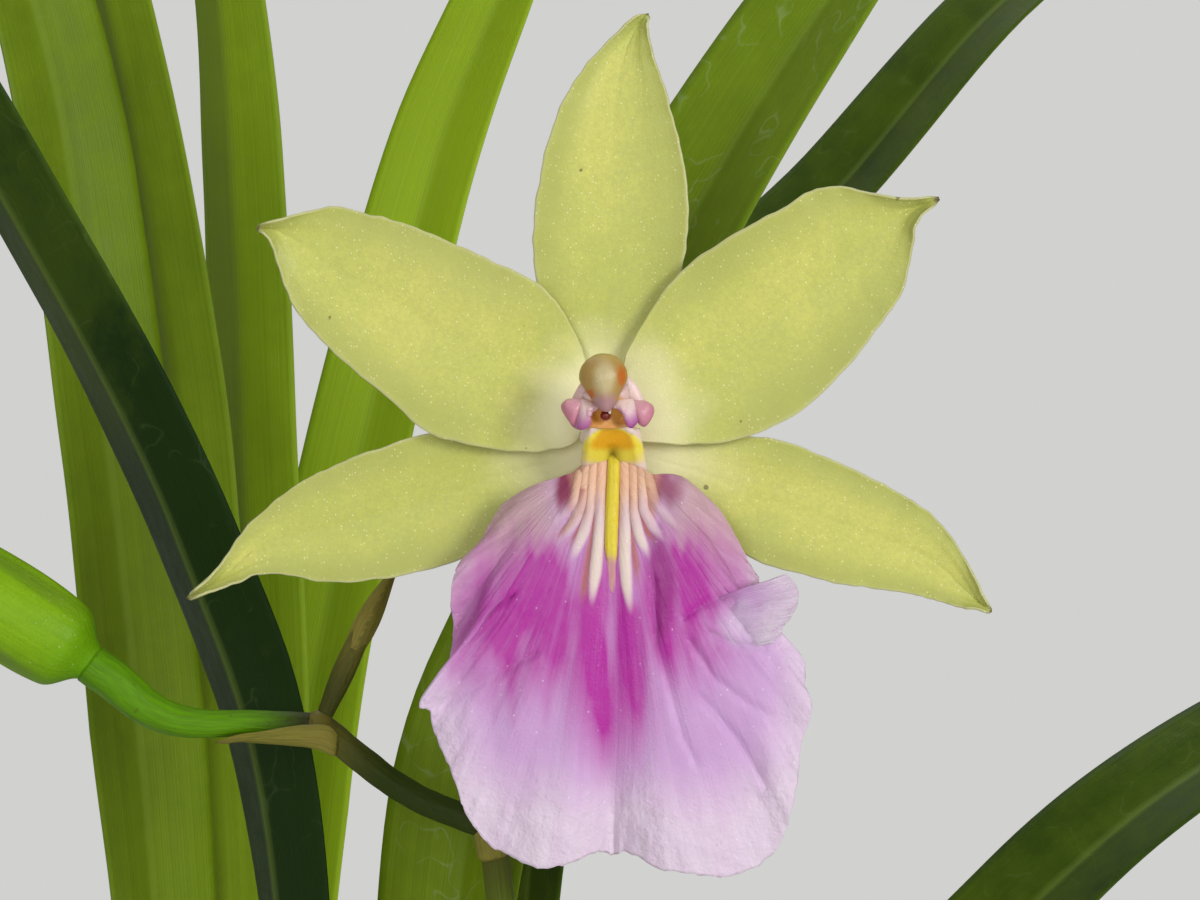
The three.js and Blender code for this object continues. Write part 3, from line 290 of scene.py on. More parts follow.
def strength(name, value, description, unit="NONE"):
    """A light's strength as a setting."""
    return FloatProperty(name=name, description=description, default=value, min=0, unit=unit)


class OrchidPotSettings(bpy.types.PropertyGroup):
    """The pot and what fills it."""

    clay: colour("Clay", "b4693f", "Fired clay of the pot")
    clay_bloom: colour("Mineral bloom", "cdb9a3", "Pale mineral film on the clay")
    bark_light: colour("Bark face", "8a6242", "Lighter faces of the bark chips")
    # Bark edge also colours the body under the chips, as painted shade in the gaps between them.
    bark_dark: colour("Bark edge", "35221a", "Dark layers and damp edges of the bark chips")
    chips: IntProperty(name="Chips", description="Bark chips laid on the surface", default=420, min=0,
                       max=900)
    chip: length("Chip length", 11.5, "Length of a middling bark chip")


class OrchidPlantSettings(bpy.types.PropertyGroup):
    """Roots, pseudobulbs, leaves and stalk."""

    root: colour("Root", "c9c3a8", "Dry root skin")
    root_tip: colour("Root tip", "8ea650", "Growing root tips")
    bulb: colour("Pseudobulb", "98a545", "Flesh of the pseudobulbs")
    bulb_dark: colour("Pseudobulb groove", "66762a", "Grooves of the pseudobulbs")
    husk: colour("Husk", "b59c72", "Dry papery sheaths")
    # The fresh and deep greens also carry painted light and shade: a lit leaf takes more of the fresh one.
    leaf_fresh_and_lit: colour("Fresh leaf", "9dbb1c", "Young and sunlit leaf green")
    leaf_deep_and_shaded: colour("Deep leaf", "173003", "Old and shaded leaf green")
    leaf_thickness: length("Leaf thickness", 0.62, "Thickness of a leaf at its midrib")
    # The stalk's dark green is partly painted shade, darker than the stalk itself, as it hangs in shade
    # behind the bloom.
    stalk: colour("Stalk", "22240a", "Flower stalk")
    stalk_tip: colour("Stalk tip", "9a8e40", "Dry upper end of the flower stalk")
    bract: colour("Bract", "8c8734", "Bracts at the stalk's nodes")
    bud: colour("Bud", "74a006", "Bud")
    pedicel: colour("Pedicel", "5c9002", "Stalk of the bud")


class OrchidBloomSettings(bpy.types.PropertyGroup):
    """The open bloom."""

    tepal: colour("Tepal", "cfce6c", "Sepals and petals")
    tepal_green: colour("Tepal shade", "bcc160", "Greener clouds in the sepals and petals")
    # Painted shade: this greyer green darkens the sepals and petals towards their margins and tips.
    tepal_edge_shade: colour("Tepal edge", "a9ae5a", "Duller green towards the margins")
    # The bloom's own pale middle, painted paler still: partly painted light against the shade there.
    tepal_base: colour("Tepal base", "efebbe", "Pale middle of the bloom")
    tepal_rim: colour("Tepal rim", "c6c596", "Thin margins of the sepals and petals")
    tepal_tip: colour("Tepal tip", "5b4a2c", "Dry points of the sepals and petals")
    tepal_thickness: length("Tepal thickness", 0.62, "Thickness of a tepal at its middle")
    lip: colour("Lip", "c39aca", "Middle of the lip")
    lip_pale: colour("Lip margin", "d8c6d8", "Pale margin of the lip")
    lip_rose: colour("Lip shoulder", "bd9a9c", "Dusty shoulders of the lip")
    lip_magenta: colour("Lip streak", "ac2096", "Streaks on the lip")
    lip_dusk: colour("Lip dusk", "7d2468", "Darkest streak of the lip")
    lip_maroon: colour("Lip corner", "84204a", "Dark spots in the lip's upper corners")
    lip_keel: colour("Lip keel", "d9c62a", "Middle keel of the lip")
    lip_callus: colour("Lip callus", "dfb192", "Peach ground of the ridges")
    lip_ridge: colour("Lip ridge", "dccabf", "Side ridges of the lip")
    lip_groove: colour("Lip groove", "a85c52", "Grooves between the ridges")
    lip_thickness: length("Lip thickness", 0.5, "Thickness of the lip at its middle")
    column: colour("Column", "ecd9cf", "Sides of the column")
    wing: colour("Column wing", "b8507c", "Ruffled wings of the column")
    wing_hem: colour("Wing hem", "a63c98", "Violet hems of the wings")
    saddle: colour("Saddle", "e2a600", "Golden saddle under the stigma")
    saddle_foot: colour("Saddle foot", "ecda48", "Lemon feet of the saddle")
    throat: colour("Throat", "d2913a", "Hollow under the cap")
    stigma: colour("Stigma", "6e1c0c", "Dark stigma")
    cap: colour("Cap", "ab8a4c", "Anther cap")
    cap_face: colour("Cap face", "c2b386", "Cream face of the cap")
    cap_spot: colour("Cap stain", "b8651f", "Stains on the anther cap")


class OrchidStageSettings(bpy.types.PropertyGroup):
    """Light, floor and backdrop."""

    floor: colour("Floor", "dcdbd8", "Plain floor")
    floor_radius: length("Floor radius", 2700, "How far the floor reaches")
    sky: colour("Backdrop", "d9d9d7", "Plain backdrop and the light it gives")
    sky_light: strength("Ambient light", 0.38, "Strength of the light from all round")
    sky_shown: strength("Backdrop brightness", 0.92, "Strength of the backdrop as it is seen")
    key_power: strength("Key light", 4.7, "Soft light from the front right", "POWER")
    fill_power: strength("Fill light", 2.4, "Soft light from beside the camera", "POWER")
    top_power: strength("Top light", 6, "Soft light from above and behind", "POWER")


# Small tools.

def clamp(x, low=0.0, high=1.0):
    return min(high, max(low, x))


def smooth(a, b, x):
    t = clamp((x - a) / (b - a))
    return t * t * (3 - 2 * t)


def mix(a, b, t):
    return a + (b - a) * t


def waver(x, y=0.0, z=0.0):
    """A smooth number from about -1 to 1 that changes over a distance of 1."""
    return noise.noise(Vector((x, y, z)))


class Path:
    """A smooth curve through points, read by share of its points or of its length."""

    PARTS = 200

    def __init__(self, points):
        inner = [Vector(p) for p in points]
        self.points = [inner[0] * 2 - inner[1], *inner, inner[-1] * 2 - inner[-2]]
        self.spans = len(inner) - 1
        self.reach = [0.0]
        before = self.at(0)
        for i in range(self.PARTS):
            here = self.at((i + 1) / self.PARTS)
            self.reach.append(self.reach[-1] + (here - before).length)
            before = here

    def at(self, share):
        place = clamp(share) * self.spans
        first = min(int(place), self.spans - 1)
        w = place - first
        a, b, c, d = self.points[first : first + 4]
        start, end = (c - a) / 2, (d - b) / 2
        return b + start * w + (3 * (c - b) - 2 * start - end) * w**2 + (2 * (b - c) + start + end) * w**3

    def share(self, of_length):
        goal = clamp(of_length) * self.reach[-1]
        i = min(bisect.bisect_right(self.reach, goal), self.PARTS) - 1
        return (i + (goal - self.reach[i]) / (self.reach[i + 1] - self.reach[i])) / self.PARTS

    def along(self, of_length):
        return self.at(self.share(of_length))

    def heading(self, of_length):
        middle = self.share(of_length)
        return (self.at(middle + 1e-4) - self.at(middle - 1e-4)).normalized()


class Stroke:
    """A mark along a line of (across, up, half width): 1 on the line, 0 at its half width. Its end fades."""

    def __init__(self, line, fade=0.0):
        self.parts = list(zip(line, line[1:]))
        self.fade = fade
        room = max(width for _, _, width in line)
        self.low = min(z for _, z, _ in line) - room
        self.high = max(z for _, z, _ in line) + room

    def at(self, x, z):
        if not self.low < z < self.high:
            return 0.0
        nearest = 1.0
        share = 1.0
        for i, ((ax, az, aw), (bx, bz, bw)) in enumerate(self.parts):
            dx, dz = bx - ax, bz - az
            k = clamp(((x - ax) * dx + (z - az) * dz) / (dx * dx + dz * dz))
            away = math.hypot(x - ax - dx * k, z - az - dz * k) / mix(aw, bw, k)
            if away < nearest:
                nearest = away
                share = (i + k) / len(self.parts)
        return (1 - smooth(0, 1, nearest)) * (1 - smooth(1 - self.fade, 1.001, share) if self.fade else 1)


def strongest(strokes, x, z):
    return max(stroke.at(x, z) for stroke in strokes)


def patch(x, z, middle, radii, soft=1.0):
    """How strong a round patch is at (x, z): 1 in its middle, 0 past its radii."""
    away = math.hypot((x - middle[0]) / radii[0], (z - middle[1]) / radii[1])
    return 1 - smooth(1 - soft, 1, away)


class Making:
    """A mesh in the making, in millimetres, with its patterns' coordinates, its masks and its thickness."""

    def __init__(self, *masks):
        self.bm = bmesh.new()
        self.uv = self.bm.loops.layers.uv.new("UVMap")
        self.weight = self.bm.verts.layers.deform.verify()
        self.masks = {name: self.bm.verts.layers.float.new(name) for name in masks}

    def paint(self, vertices, **values):
        for name, value in values.items():
            for vertex in vertices:
                vertex[self.masks[name]] = value

    def sheet(self, rows, columns, place, masks=None, thick=None, material=0):
        """A grid laid on place(s, t): s from 0 to 1 along it, t from -1 to 1 across it."""
        made = bmesh.ops.create_grid(self.bm, x_segments=columns, y_segments=rows, size=1)["verts"]
        spots = {v: (round((v.co.y + 1) / 2, 5), round(v.co.x, 5)) for v in made}
        for face in {f for v in made for f in v.link_faces}:
            face.material_index = material
            face.smooth = True
            for loop in face.loops:
                s, t = spots[loop.vert]
                loop[self.uv].uv = ((t + 1) / 2, s)
        for vertex, (s, t) in spots.items():
            vertex.co = place(s, t)
            if masks:
                for name, value in masks(s, t, vertex.co).items():
                    vertex[self.masks[name]] = value
            vertex[self.weight][0] = thick(s, t) if thick else 1.0
        return made

    def tube(self, points, side, size, rows, around, masks=None):
        """A round or oval body along a path, with size(s, angle) its half widths along side and across it."""
        path = points if isinstance(points, Path) else Path(points)
        cap = 1 / rows

        @functools.cache
        def ring(s):
            along = path.heading(s)
            wide = (Vector(side) - along * Vector(side).dot(along)).normalized()
            return path.along(s), wide, along.cross(wide)

        def place(s, t):
            inner = clamp((s - cap) / (1 - 2 * cap))
            centre, wide, other = ring(inner)
            if s < cap / 2 or s > 1 - cap / 2:
                return centre
            a, b = size(inner, math.pi * t)
            return centre + wide * (a * math.cos(math.pi * t)) + other * (b * math.sin(math.pi * t))

        return self.sheet(rows, around, place, masks)

    def slab(self, rows, columns, place, amount, masks=None, material=0):
        """A sheet whose thickness is rounded off to nothing at its margins."""
        near = 1e-3

        @functools.cache
        def outward(s, t):
            s, t = clamp(s, near, 1 - near), clamp(t, near - 1, 1 - near)
            along = place(s + near, t) - place(s - near, t)
            return (place(s, t + near) - place(s, t - near)).cross(along).normalized()

        def swell(s, t):
            return amount / 2 * math.sqrt(clamp(min(s, 1 - s) * 10) * clamp((1 - abs(t)) * 14))

        for side in (1, -1):
            self.sheet(rows, columns, lambda s, t: place(s, t) + outward(s, t) * (side * swell(s, t)),
                       masks, None, material)

    def finish(self, name, materials, nodes, shift=(0, 0, 0), merge=1e-3):
        """The made piece in the scene, standing for its nodes."""
        bmesh.ops.remove_doubles(self.bm, verts=self.bm.verts, dist=merge)
        bmesh.ops.recalc_face_normals(self.bm, faces=self.bm.faces)
        bmesh.ops.translate(self.bm, vec=shift, verts=self.bm.verts)
        bmesh.ops.scale(self.bm, vec=(MM, MM, MM), verts=self.bm.verts)
        mesh = bpy.data.meshes.new(name)
        self.bm.to_mesh(mesh)
        self.bm.free()
        for material in materials:
            mesh.materials.append(material)
        piece = bpy.data.objects.new(name, mesh)
        bpy.context.scene.collection.objects.link(piece)
        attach(piece, BODY)
        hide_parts(*nodes)
        return piece


def give_thickness(piece, thickness):
    """Thickness from the piece's own weights, so its margins come out thin."""
    group = piece.vertex_groups.new(name="thickness")
    shell = piece.modifiers.new("thickness", "SOLIDIFY")
    shell.thickness = thickness
    shell.offset = 0
    shell.vertex_group = group.name
    shell.thickness_vertex_group = 0.12
    shell.use_even_offset = False
    shell.use_rim = True


# Tools for materials.

def feed(tree, socket, value):
    """Joins a socket to another, or sets its value."""
    if isinstance(value, bpy.types.NodeSocket):
        tree.links.new(value, socket)
    elif socket.type == "RGBA":
        socket.default_value = (*value[:3], 1)
    else:
        socket.default_value = value


def node(tree, kind, inputs=None, **settings):
    """A node with its settings and inputs, whose outputs are returned."""
    made = tree.nodes.new(kind)
    for name, value in settings.items():
        setattr(made, name, value)
    for name, value in (inputs or {}).items():
        feed(tree, made.inputs[name], value)
    return made.outputs


def blend(tree, share, a, b):
    """Colour a with a share of colour b."""
    return node(tree, "ShaderNodeMix", {0: share, 6: a, 7: b}, data_type="RGBA")[2]


def maths(tree, operation, a, b=0.0):
    return node(tree, "ShaderNodeMath", {0: a, 1: b}, operation=operation)[0]


def times(tree, a, b):
    return maths(tree, "MULTIPLY", a, b)


def plus(tree, a, b):
    return maths(tree, "ADD", a, b)


def stretch(tree, value, low, high, to_low=0.0, to_high=1.0):
    """The value's range from low to high, softly spread over another range."""
    inputs = {"Value": value, "From Min": low, "From Max": high, "To Min": to_low, "To Max": to_high}
    return node(tree, "ShaderNodeMapRange", inputs, interpolation_type="SMOOTHSTEP")[0]


def mask(tree, name):
    return node(tree, "ShaderNodeAttribute", attribute_name=name)["Fac"]


def coats(tree, under, /, **colours):
    """A colour with others laid over it in turn, each where the mask of its name is."""
    for name, over in colours.items():
        under = blend(tree, mask(tree, name), under, over)
    return under


def place_on(tree):
    """The place on the object, in metres."""
    return node(tree, "ShaderNodeTexCoord")["Object"]


def speckle(tree, place, scale, detail=2.0, rough=0.5):
    inputs = {"Vector": place, "Scale": scale, "Detail": detail, "Roughness": rough}
    return node(tree, "ShaderNodeTexNoise", inputs)["Fac"]


def scaled(tree, place, factors):
    return node(tree, "ShaderNodeVectorMath", {0: place, 1: factors}, operation="MULTIPLY")[0]


def bump(tree, height, distance, strength=1.0):
    return node(tree, "ShaderNodeBump", {"Height": height, "Distance": distance, "Strength": strength})[0]


def shared(name, inputs, outputs, build):
    """A node group of values, made once. build(tree, inputs) gives its outputs in order."""
    known = bpy.data.node_groups.get(name)
    if known:
        return known
    tree = bpy.data.node_groups.new(name, "ShaderNodeTree")
    for label, value in inputs.items():
        socket = tree.interface.new_socket(name=label, in_out="INPUT", socket_type="NodeSocketFloat")
        socket.default_value = value
    for label in outputs:
        tree.interface.new_socket(name=label, in_out="OUTPUT", socket_type="NodeSocketFloat")
    entry = tree.nodes.new("NodeGroupInput")
    leave = tree.nodes.new("NodeGroupOutput")
    for label, socket in zip(outputs, build(tree, entry.outputs)):
        tree.links.new(socket, leave.inputs[label])
    return tree


def use(tree, group, **inputs):
    """Places a node group in a material with its own values."""
    made = tree.nodes.new("ShaderNodeGroup")
    made.node_tree = group
    for name, value in inputs.items():
        feed(tree, made.inputs[name], value)
    return made.outputs


def petal_cells():
    """Tiny domed cells, and the few of them that catch the light."""
    def build(tree, given):
        at = place_on(tree)
        cells = node(tree, "ShaderNodeTexVoronoi", {"Vector": at, "Scale": given["Scale"]})
        chosen = node(tree, "ShaderNodeSeparateColor", {0: cells["Color"]})[0]
        few = stretch(tree, chosen, given["Rarity"], 1.0)
        dome = stretch(tree, cells["Distance"], 0.7, 0.0)
        return dome, times(tree, stretch(tree, cells["Distance"], 0.42, 0.12), few)
    return shared("Petal cells", {"Scale": 4200, "Rarity": 0.86}, ["Dome", "Glint"], build)


def long_lines():
    """Fine lines that run along a piece, from its own across and along."""
    def build(tree, given):
        u, v, _ = node(tree, "ShaderNodeSeparateXYZ", {0: node(tree, "ShaderNodeUVMap", uv_map="UVMap")[0]})
        fine = node(tree, "ShaderNodeCombineXYZ", {
            0: times(tree, u, given["Count"]), 1: times(tree, v, given["Stretch"])})[0]
        line = stretch(tree, speckle(tree, fine, 1.0, 3.0, 0.6), 0.3, 0.7)
        return [line]
    return shared("Long lines", {"Count": 40, "Stretch": 3}, ["Line"], build)


def clouds():
    """Soft patches over two sizes."""
    def build(tree, given):
        at = place_on(tree)
        wide = speckle(tree, at, given["Scale"], 3.0, 0.55)
        fine = speckle(tree, at, times(tree, given["Scale"], 9.0), 4.0, 0.6)
        both = plus(tree, times(tree, wide, 0.7), times(tree, fine, 0.3))
        return stretch(tree, both, 0.35, 0.65), fine
    return shared("Clouds", {"Scale": 100}, ["Cloud", "Grain"], build)


def surface(name, **constants):
    """A material with a Principled shader whose plain numbers are set."""
    made = bpy.data.materials.new(name)
    made.use_nodes = True
    tree = made.node_tree
    tree.nodes.clear()
    shader = tree.nodes.new("ShaderNodeBsdfPrincipled")
    output = tree.nodes.new("ShaderNodeOutputMaterial")
    tree.links.new(shader.outputs[0], output.inputs[0])
    for socket, value in constants.items():
        shader.inputs[socket.replace("_", " ")].default_value = value
    return made, tree, shader


def dress(tree, shader, base, roughness, normal):
    for name, value in (("Base Color", base), ("Roughness", roughness), ("Normal", normal)):
        feed(tree, shader.inputs[name], value)


FLESH_RADIUS = (1.0, 0.75, 0.4)


def tepal_finish(look):
    """Waxy pale flesh, faint veins, glinting cells, a pale base partly painted light, duller edges in painted
    shade.
    """
    made, tree, shader = surface("Tepal flesh", Subsurface_Weight=0.2, Subsurface_Radius=FLESH_RADIUS,
                                 Subsurface_Scale=0.0008, Specular_IOR_Level=0.3, Sheen_Weight=0.08,
                                 Sheen_Roughness=0.4)
    cells = use(tree, petal_cells(), Scale=4400, Rarity=0.8)
    cloud, grain = use(tree, clouds(), Scale=70)
    vein = use(tree, long_lines(), Count=24, Stretch=2.2)[0]
    fine = stretch(tree, speckle(tree, place_on(tree), 2600, 3.0, 0.7), 0.35, 0.65)
    flesh = blend(tree, cloud, look.tepal, look.tepal_green)
    flesh = blend(tree, times(tree, vein, 0.04), flesh, linear("a9b04a"))
    flesh = blend(tree, times(tree, fine, 0.26), flesh, linear("a3a45a"))
    # edge is painted shade towards the margins and tips.
    flesh = coats(tree, flesh, edge=look.tepal_edge_shade, base=look.tepal_base, rim=look.tepal_rim,
                  tip=look.tepal_tip)
    flesh = blend(tree, times(tree, cells["Glint"], 0.5), flesh, linear("fbf8c8"))
    specks = stretch(tree, speckle(tree, place_on(tree), 900, 1.0, 0.4), 0.8, 0.82)
    flesh = blend(tree, times(tree, specks, 0.7), flesh, linear("5a5228"))
    height = plus(tree, times(tree, cells["Dome"], 0.3), times(tree, vein, 0.15))
    dress(tree, shader, flesh, stretch(tree, grain, 0.3, 0.7, 0.52, 0.4), bump(tree, height, 0.00005, 0.8))
    return made


def lip_finish(look):
    """Lilac flesh, streaked, with a golden keel, cream ridges and a pale crinkled margin."""
    made, tree, shader = surface("Lip flesh", Subsurface_Weight=0.2, Subsurface_Radius=(1.0, 0.6, 0.9),
                                 Subsurface_Scale=0.0008, Specular_IOR_Level=0.3, Sheen_Weight=0.08,
                                 Sheen_Roughness=0.4)
    cells = use(tree, petal_cells(), Scale=3900, Rarity=0.975)
    cloud, grain = use(tree, clouds(), Scale=120)
    vein = use(tree, long_lines(), Count=52, Stretch=1.6)[0]
    flesh = blend(tree, mask(tree, "pale"), look.lip, look.lip_pale)
    flesh = blend(tree, times(tree, vein, 0.16), flesh, linear("c795c6"))
    flesh = blend(tree, mask(tree, "rose"), flesh, look.lip_rose)
    wavering = times(tree, maths(tree, "SUBTRACT", vein, 0.5), 0.3)
    deep = plus(tree, mask(tree, "magenta"), times(tree, wavering, mask(tree, "magenta")))
    flesh = blend(tree, deep, flesh, look.lip_magenta)
    flesh = coats(tree, flesh, dusk=look.lip_dusk, callus=look.lip_callus, groove=look.lip_groove,
                  ridge=look.lip_ridge, keel=look.lip_keel, maroon=look.lip_maroon)
    flesh = blend(tree, times(tree, cloud, 0.04), flesh, linear("eadcea"))
    flesh = blend(tree, times(tree, cells["Glint"], 0.35), flesh, linear("ffffff"))
    crinkle = times(tree, speckle(tree, place_on(tree), 620, 3.0, 0.6),
                    stretch(tree, mask(tree, "pale"), 0.0, 1.0, 0.8, 4.5))
    height = plus(tree, times(tree, cells["Dome"], 0.2), times(tree, vein, 0.7))
    height = plus(tree, height, crinkle)
    dress(tree, shader, flesh, stretch(tree, grain, 0.3, 0.7, 0.52, 0.4), bump(tree, height, 0.0001, 0.8))
    return made


def column_finish(look):
    """Waxy cream flesh, rosy wings, violet hems, a golden saddle, a tan hollow, painted shade in the saddle's
    dip.
    """
    made, tree, shader = surface("Column flesh", Subsurface_Weight=0.25, Subsurface_Radius=(1.0, 0.6, 0.5),
                                 Subsurface_Scale=0.0006, Specular_IOR_Level=0.4)
    cells = use(tree, petal_cells(), Scale=5200, Rarity=0.97)
    cloud, grain = use(tree, clouds(), Scale=260)
    flesh = blend(tree, times(tree, cloud, 0.3), look.column, linear("d9b5b0"))
    flesh = coats(tree, flesh, wing=look.wing, violet=look.wing_hem)
    flesh = blend(tree, stretch(tree, mask(tree, "saddle"), 0.05, 0.5), flesh, look.saddle_foot)
    flesh = blend(tree, stretch(tree, mask(tree, "saddle"), 0.5, 1.0), flesh, look.saddle)
    # olive is painted shade where the saddle sinks back between its feet.
    flesh = coats(tree, flesh, olive=linear("6b5a10"), throat=look.throat, dark=look.stigma)
    flesh = blend(tree, times(tree, cells["Glint"], 0.3), flesh, linear("ffffff"))
    dress(tree, shader, flesh, stretch(tree, grain, 0.3, 0.7, 0.42, 0.32),
          bump(tree, cells["Dome"], 0.00003, 0.6))
    return made


def cap_finish(look):
    """Tan cap with a cream face, rusty stains and a rosy beak."""
    made, tree, shader = surface("Cap flesh", Subsurface_Weight=0.2, Subsurface_Radius=(1.0, 0.7, 0.4),
                                 Subsurface_Scale=0.0006, Specular_IOR_Level=0.4)
    cloud, grain = use(tree, clouds(), Scale=520)
    cells = use(tree, petal_cells(), Scale=5200, Rarity=0.97)
    ragged = plus(tree, mask(tree, "stain"), times(tree, maths(tree, "SUBTRACT", grain, 0.5), 0.9))
    flesh = coats(tree, look.cap, rim=linear("b59c55"), face=look.cap_face)
    flesh = blend(tree, times(tree, cloud, 0.15), flesh, linear("a5894c"))
    flesh = blend(tree, times(tree, mask(tree, "blush"), 0.7), flesh, linear("ad7f96"))
    flesh = blend(tree, stretch(tree, ragged, 0.2, 0.85), flesh, look.cap_spot)
    dress(tree, shader, flesh, stretch(tree, grain, 0.3, 0.7, 0.45, 0.34),
          bump(tree, cells["Dome"], 0.00003, 0.5))
    return made


def leaf_finish(look):
    """Strap leaf: fine parallel veins, a lighter midrib, a pale foot, a dry tip and rings of dried drops."""
    made, tree, shader = surface("Leaf", Subsurface_Weight=0.1, Subsurface_Radius=(0.5, 1.0, 0.2),
                                 Subsurface_Scale=0.0008, Specular_IOR_Level=0.14)
    line = use(tree, long_lines(), Count=80, Stretch=1.2)[0]
    broad = use(tree, long_lines(), Count=9, Stretch=0.7)[0]
    cloud, grain = use(tree, clouds(), Scale=38)
    # fresh is partly the leaf's own green and partly painted light and shade.
    tone = plus(tree, mask(tree, "fresh"), times(tree, maths(tree, "SUBTRACT", cloud, 0.5), 0.14))
    green = blend(tree, tone, look.leaf_deep_and_shaded, look.leaf_fresh_and_lit)
    green = blend(tree, times(tree, line, 0.16), green, linear("24400a"))
    green = blend(tree, times(tree, broad, times(tree, mask(tree, "fresh"), 0.2)), green,
                  linear("8aa632"))
    green = blend(tree, times(tree, mask(tree, "rib"), 0.28), green, linear("8fa845"))
    green = blend(tree, mask(tree, "foot"), green, linear("a8b45a"))
    drops = speckle(tree, place_on(tree), 150, 2.0, 0.55)
    ring = stretch(tree, maths(tree, "ABSOLUTE", maths(tree, "SUBTRACT", drops, 0.55)), 0.012, 0.0)
    ring = times(tree, ring, times(tree, mask(tree, "marks"), stretch(tree, grain, 0.4, 0.6)))
    green = blend(tree, times(tree, ring, 0.28), green, linear("9db07c"))
    green = blend(tree, mask(tree, "tip"), green, linear("8a6a3a"))
    height = plus(tree, times(tree, line, 0.6), times(tree, broad, 0.4))
    rough = plus(tree, stretch(tree, grain, 0.3, 0.7, 0.4, 0.52), times(tree, ring, 0.3))
    dress(tree, shader, green, rough, bump(tree, height, 0.00005, 0.6))
    return made


def bulb_finish(look):
    """Smooth waxy flesh, darker in its grooves, with fine dots and a dry scar at the neck."""
    made, tree, shader = surface("Pseudobulb", Subsurface_Weight=0.12, Subsurface_Radius=(0.7, 1.0, 0.2),
                                 Subsurface_Scale=0.001, Specular_IOR_Level=0.45)
    line = use(tree, long_lines(), Count=90, Stretch=2.5)[0]
    cloud, grain = use(tree, clouds(), Scale=60)
    flesh = blend(tree, mask(tree, "groove"), look.bulb, look.bulb_dark)
    flesh = blend(tree, times(tree, cloud, 0.35), flesh, linear("b3b65c"))
    flesh = blend(tree, times(tree, line, 0.22), flesh, linear("5d6f25"))
    spots = stretch(tree, speckle(tree, place_on(tree), 700, 2.0, 0.5), 0.68, 0.74)
    flesh = blend(tree, times(tree, spots, 0.5), flesh, linear("5b5223"))
    flesh = blend(tree, mask(tree, "scar"), flesh, linear("8b7245"))
    height = plus(tree, times(tree, line, 0.7), times(tree, grain, 0.5))
    dress(tree, shader, flesh, stretch(tree, grain, 0.3, 0.7, 0.38, 0.52), bump(tree, height, 0.00012, 0.6))
    return made


def husk_finish(look):
    """Dry papery sheath with long fibres."""
    made, tree, shader = surface("Husk", Specular_IOR_Level=0.3, Sheen_Weight=0.15, Sheen_Roughness=0.5)
    line = use(tree, long_lines(), Count=60, Stretch=1.6)[0]
    cloud, grain = use(tree, clouds(), Scale=80)
    straw = blend(tree, times(tree, line, 0.55), look.husk, linear("6f5636"))
    straw = blend(tree, times(tree, cloud, 0.4), straw, linear("d2c29a"))
    straw = blend(tree, times(tree, stretch(tree, grain, 0.55, 0.75), 0.5), straw, linear("5d4327"))
    dress(tree, shader, straw, 0.75, bump(tree, line, 0.00022, 0.9))
    return made


def stalk_finish(look):
    """Smooth stalk, its dark ground partly painted shade, green low down and straw brown at its end, faintly
    lined.
    """
    made, tree, shader = surface("Stalk", Specular_IOR_Level=0.14, Subsurface_Weight=0.06,
                                 Subsurface_Radius=(0.6, 1.0, 0.2), Subsurface_Scale=0.0006)
    line = use(tree, long_lines(), Count=24, Stretch=6)[0]
    cloud, grain = use(tree, clouds(), Scale=170)
    # The dark ground colour is partly painted shade.
    green = blend(tree, times(tree, cloud, 0.3), look.stalk, linear("4a3c1a"))
    green = coats(tree, green, fresh=look.pedicel, dry=look.stalk_tip)
    green = blend(tree, times(tree, line, 0.3), green, linear("2f3216"))
    specks = stretch(tree, speckle(tree, place_on(tree), 1500, 2.0, 0.5), 0.66, 0.72)
    green = blend(tree, times(tree, specks, 0.35), green, linear("3c2b18"))
    dress(tree, shader, green, stretch(tree, grain, 0.3, 0.7, 0.4, 0.55), bump(tree, line, 0.00006, 0.7))
    return made


def bract_finish(look):
    """Thin dry bract, straw with olive veins."""
    made, tree, shader = surface("Bract", Specular_IOR_Level=0.18, Subsurface_Weight=0.1,
                                 Subsurface_Radius=(0.8, 1.0, 0.3), Subsurface_Scale=0.0005)
    line = use(tree, long_lines(), Count=18, Stretch=1.5)[0]
    cloud, grain = use(tree, clouds(), Scale=240)
    straw = blend(tree, times(tree, line, 0.5), look.bract, linear("6d6a34"))
    straw = blend(tree, times(tree, cloud, 0.3), straw, linear("a8964a"))
    dress(tree, shader, straw, stretch(tree, grain, 0.3, 0.7, 0.5, 0.65), bump(tree, line, 0.0001, 0.9))
    return made


def bud_finish(look):
    """Waxy green bud with duller seams and fine veins, its foot in its pedicel's green."""
    made, tree, shader = surface("Bud", Subsurface_Weight=0.15, Subsurface_Radius=(0.7, 1.0, 0.2),
                                 Subsurface_Scale=0.001, Specular_IOR_Level=0.16)
    line = use(tree, long_lines(), Count=44, Stretch=2.0)[0]
    cells = use(tree, petal_cells(), Scale=3200, Rarity=0.93)
    cloud, grain = use(tree, clouds(), Scale=110)
    green = blend(tree, times(tree, cloud, 0.4), look.bud, linear("96be1e"))
    green = blend(tree, times(tree, line, 0.3), green, linear("648c08"))
    green = coats(tree, green, seam=linear("5f7d20"), foot=look.pedicel)
    green = blend(tree, times(tree, cells["Glint"], 0.15), green, linear("eef3c8"))
    height = plus(tree, times(tree, line, 0.5), times(tree, cells["Dome"], 0.4))
    dress(tree, shader, green, stretch(tree, grain, 0.3, 0.7, 0.4, 0.5), bump(tree, height, 0.00008, 0.7))
    return made


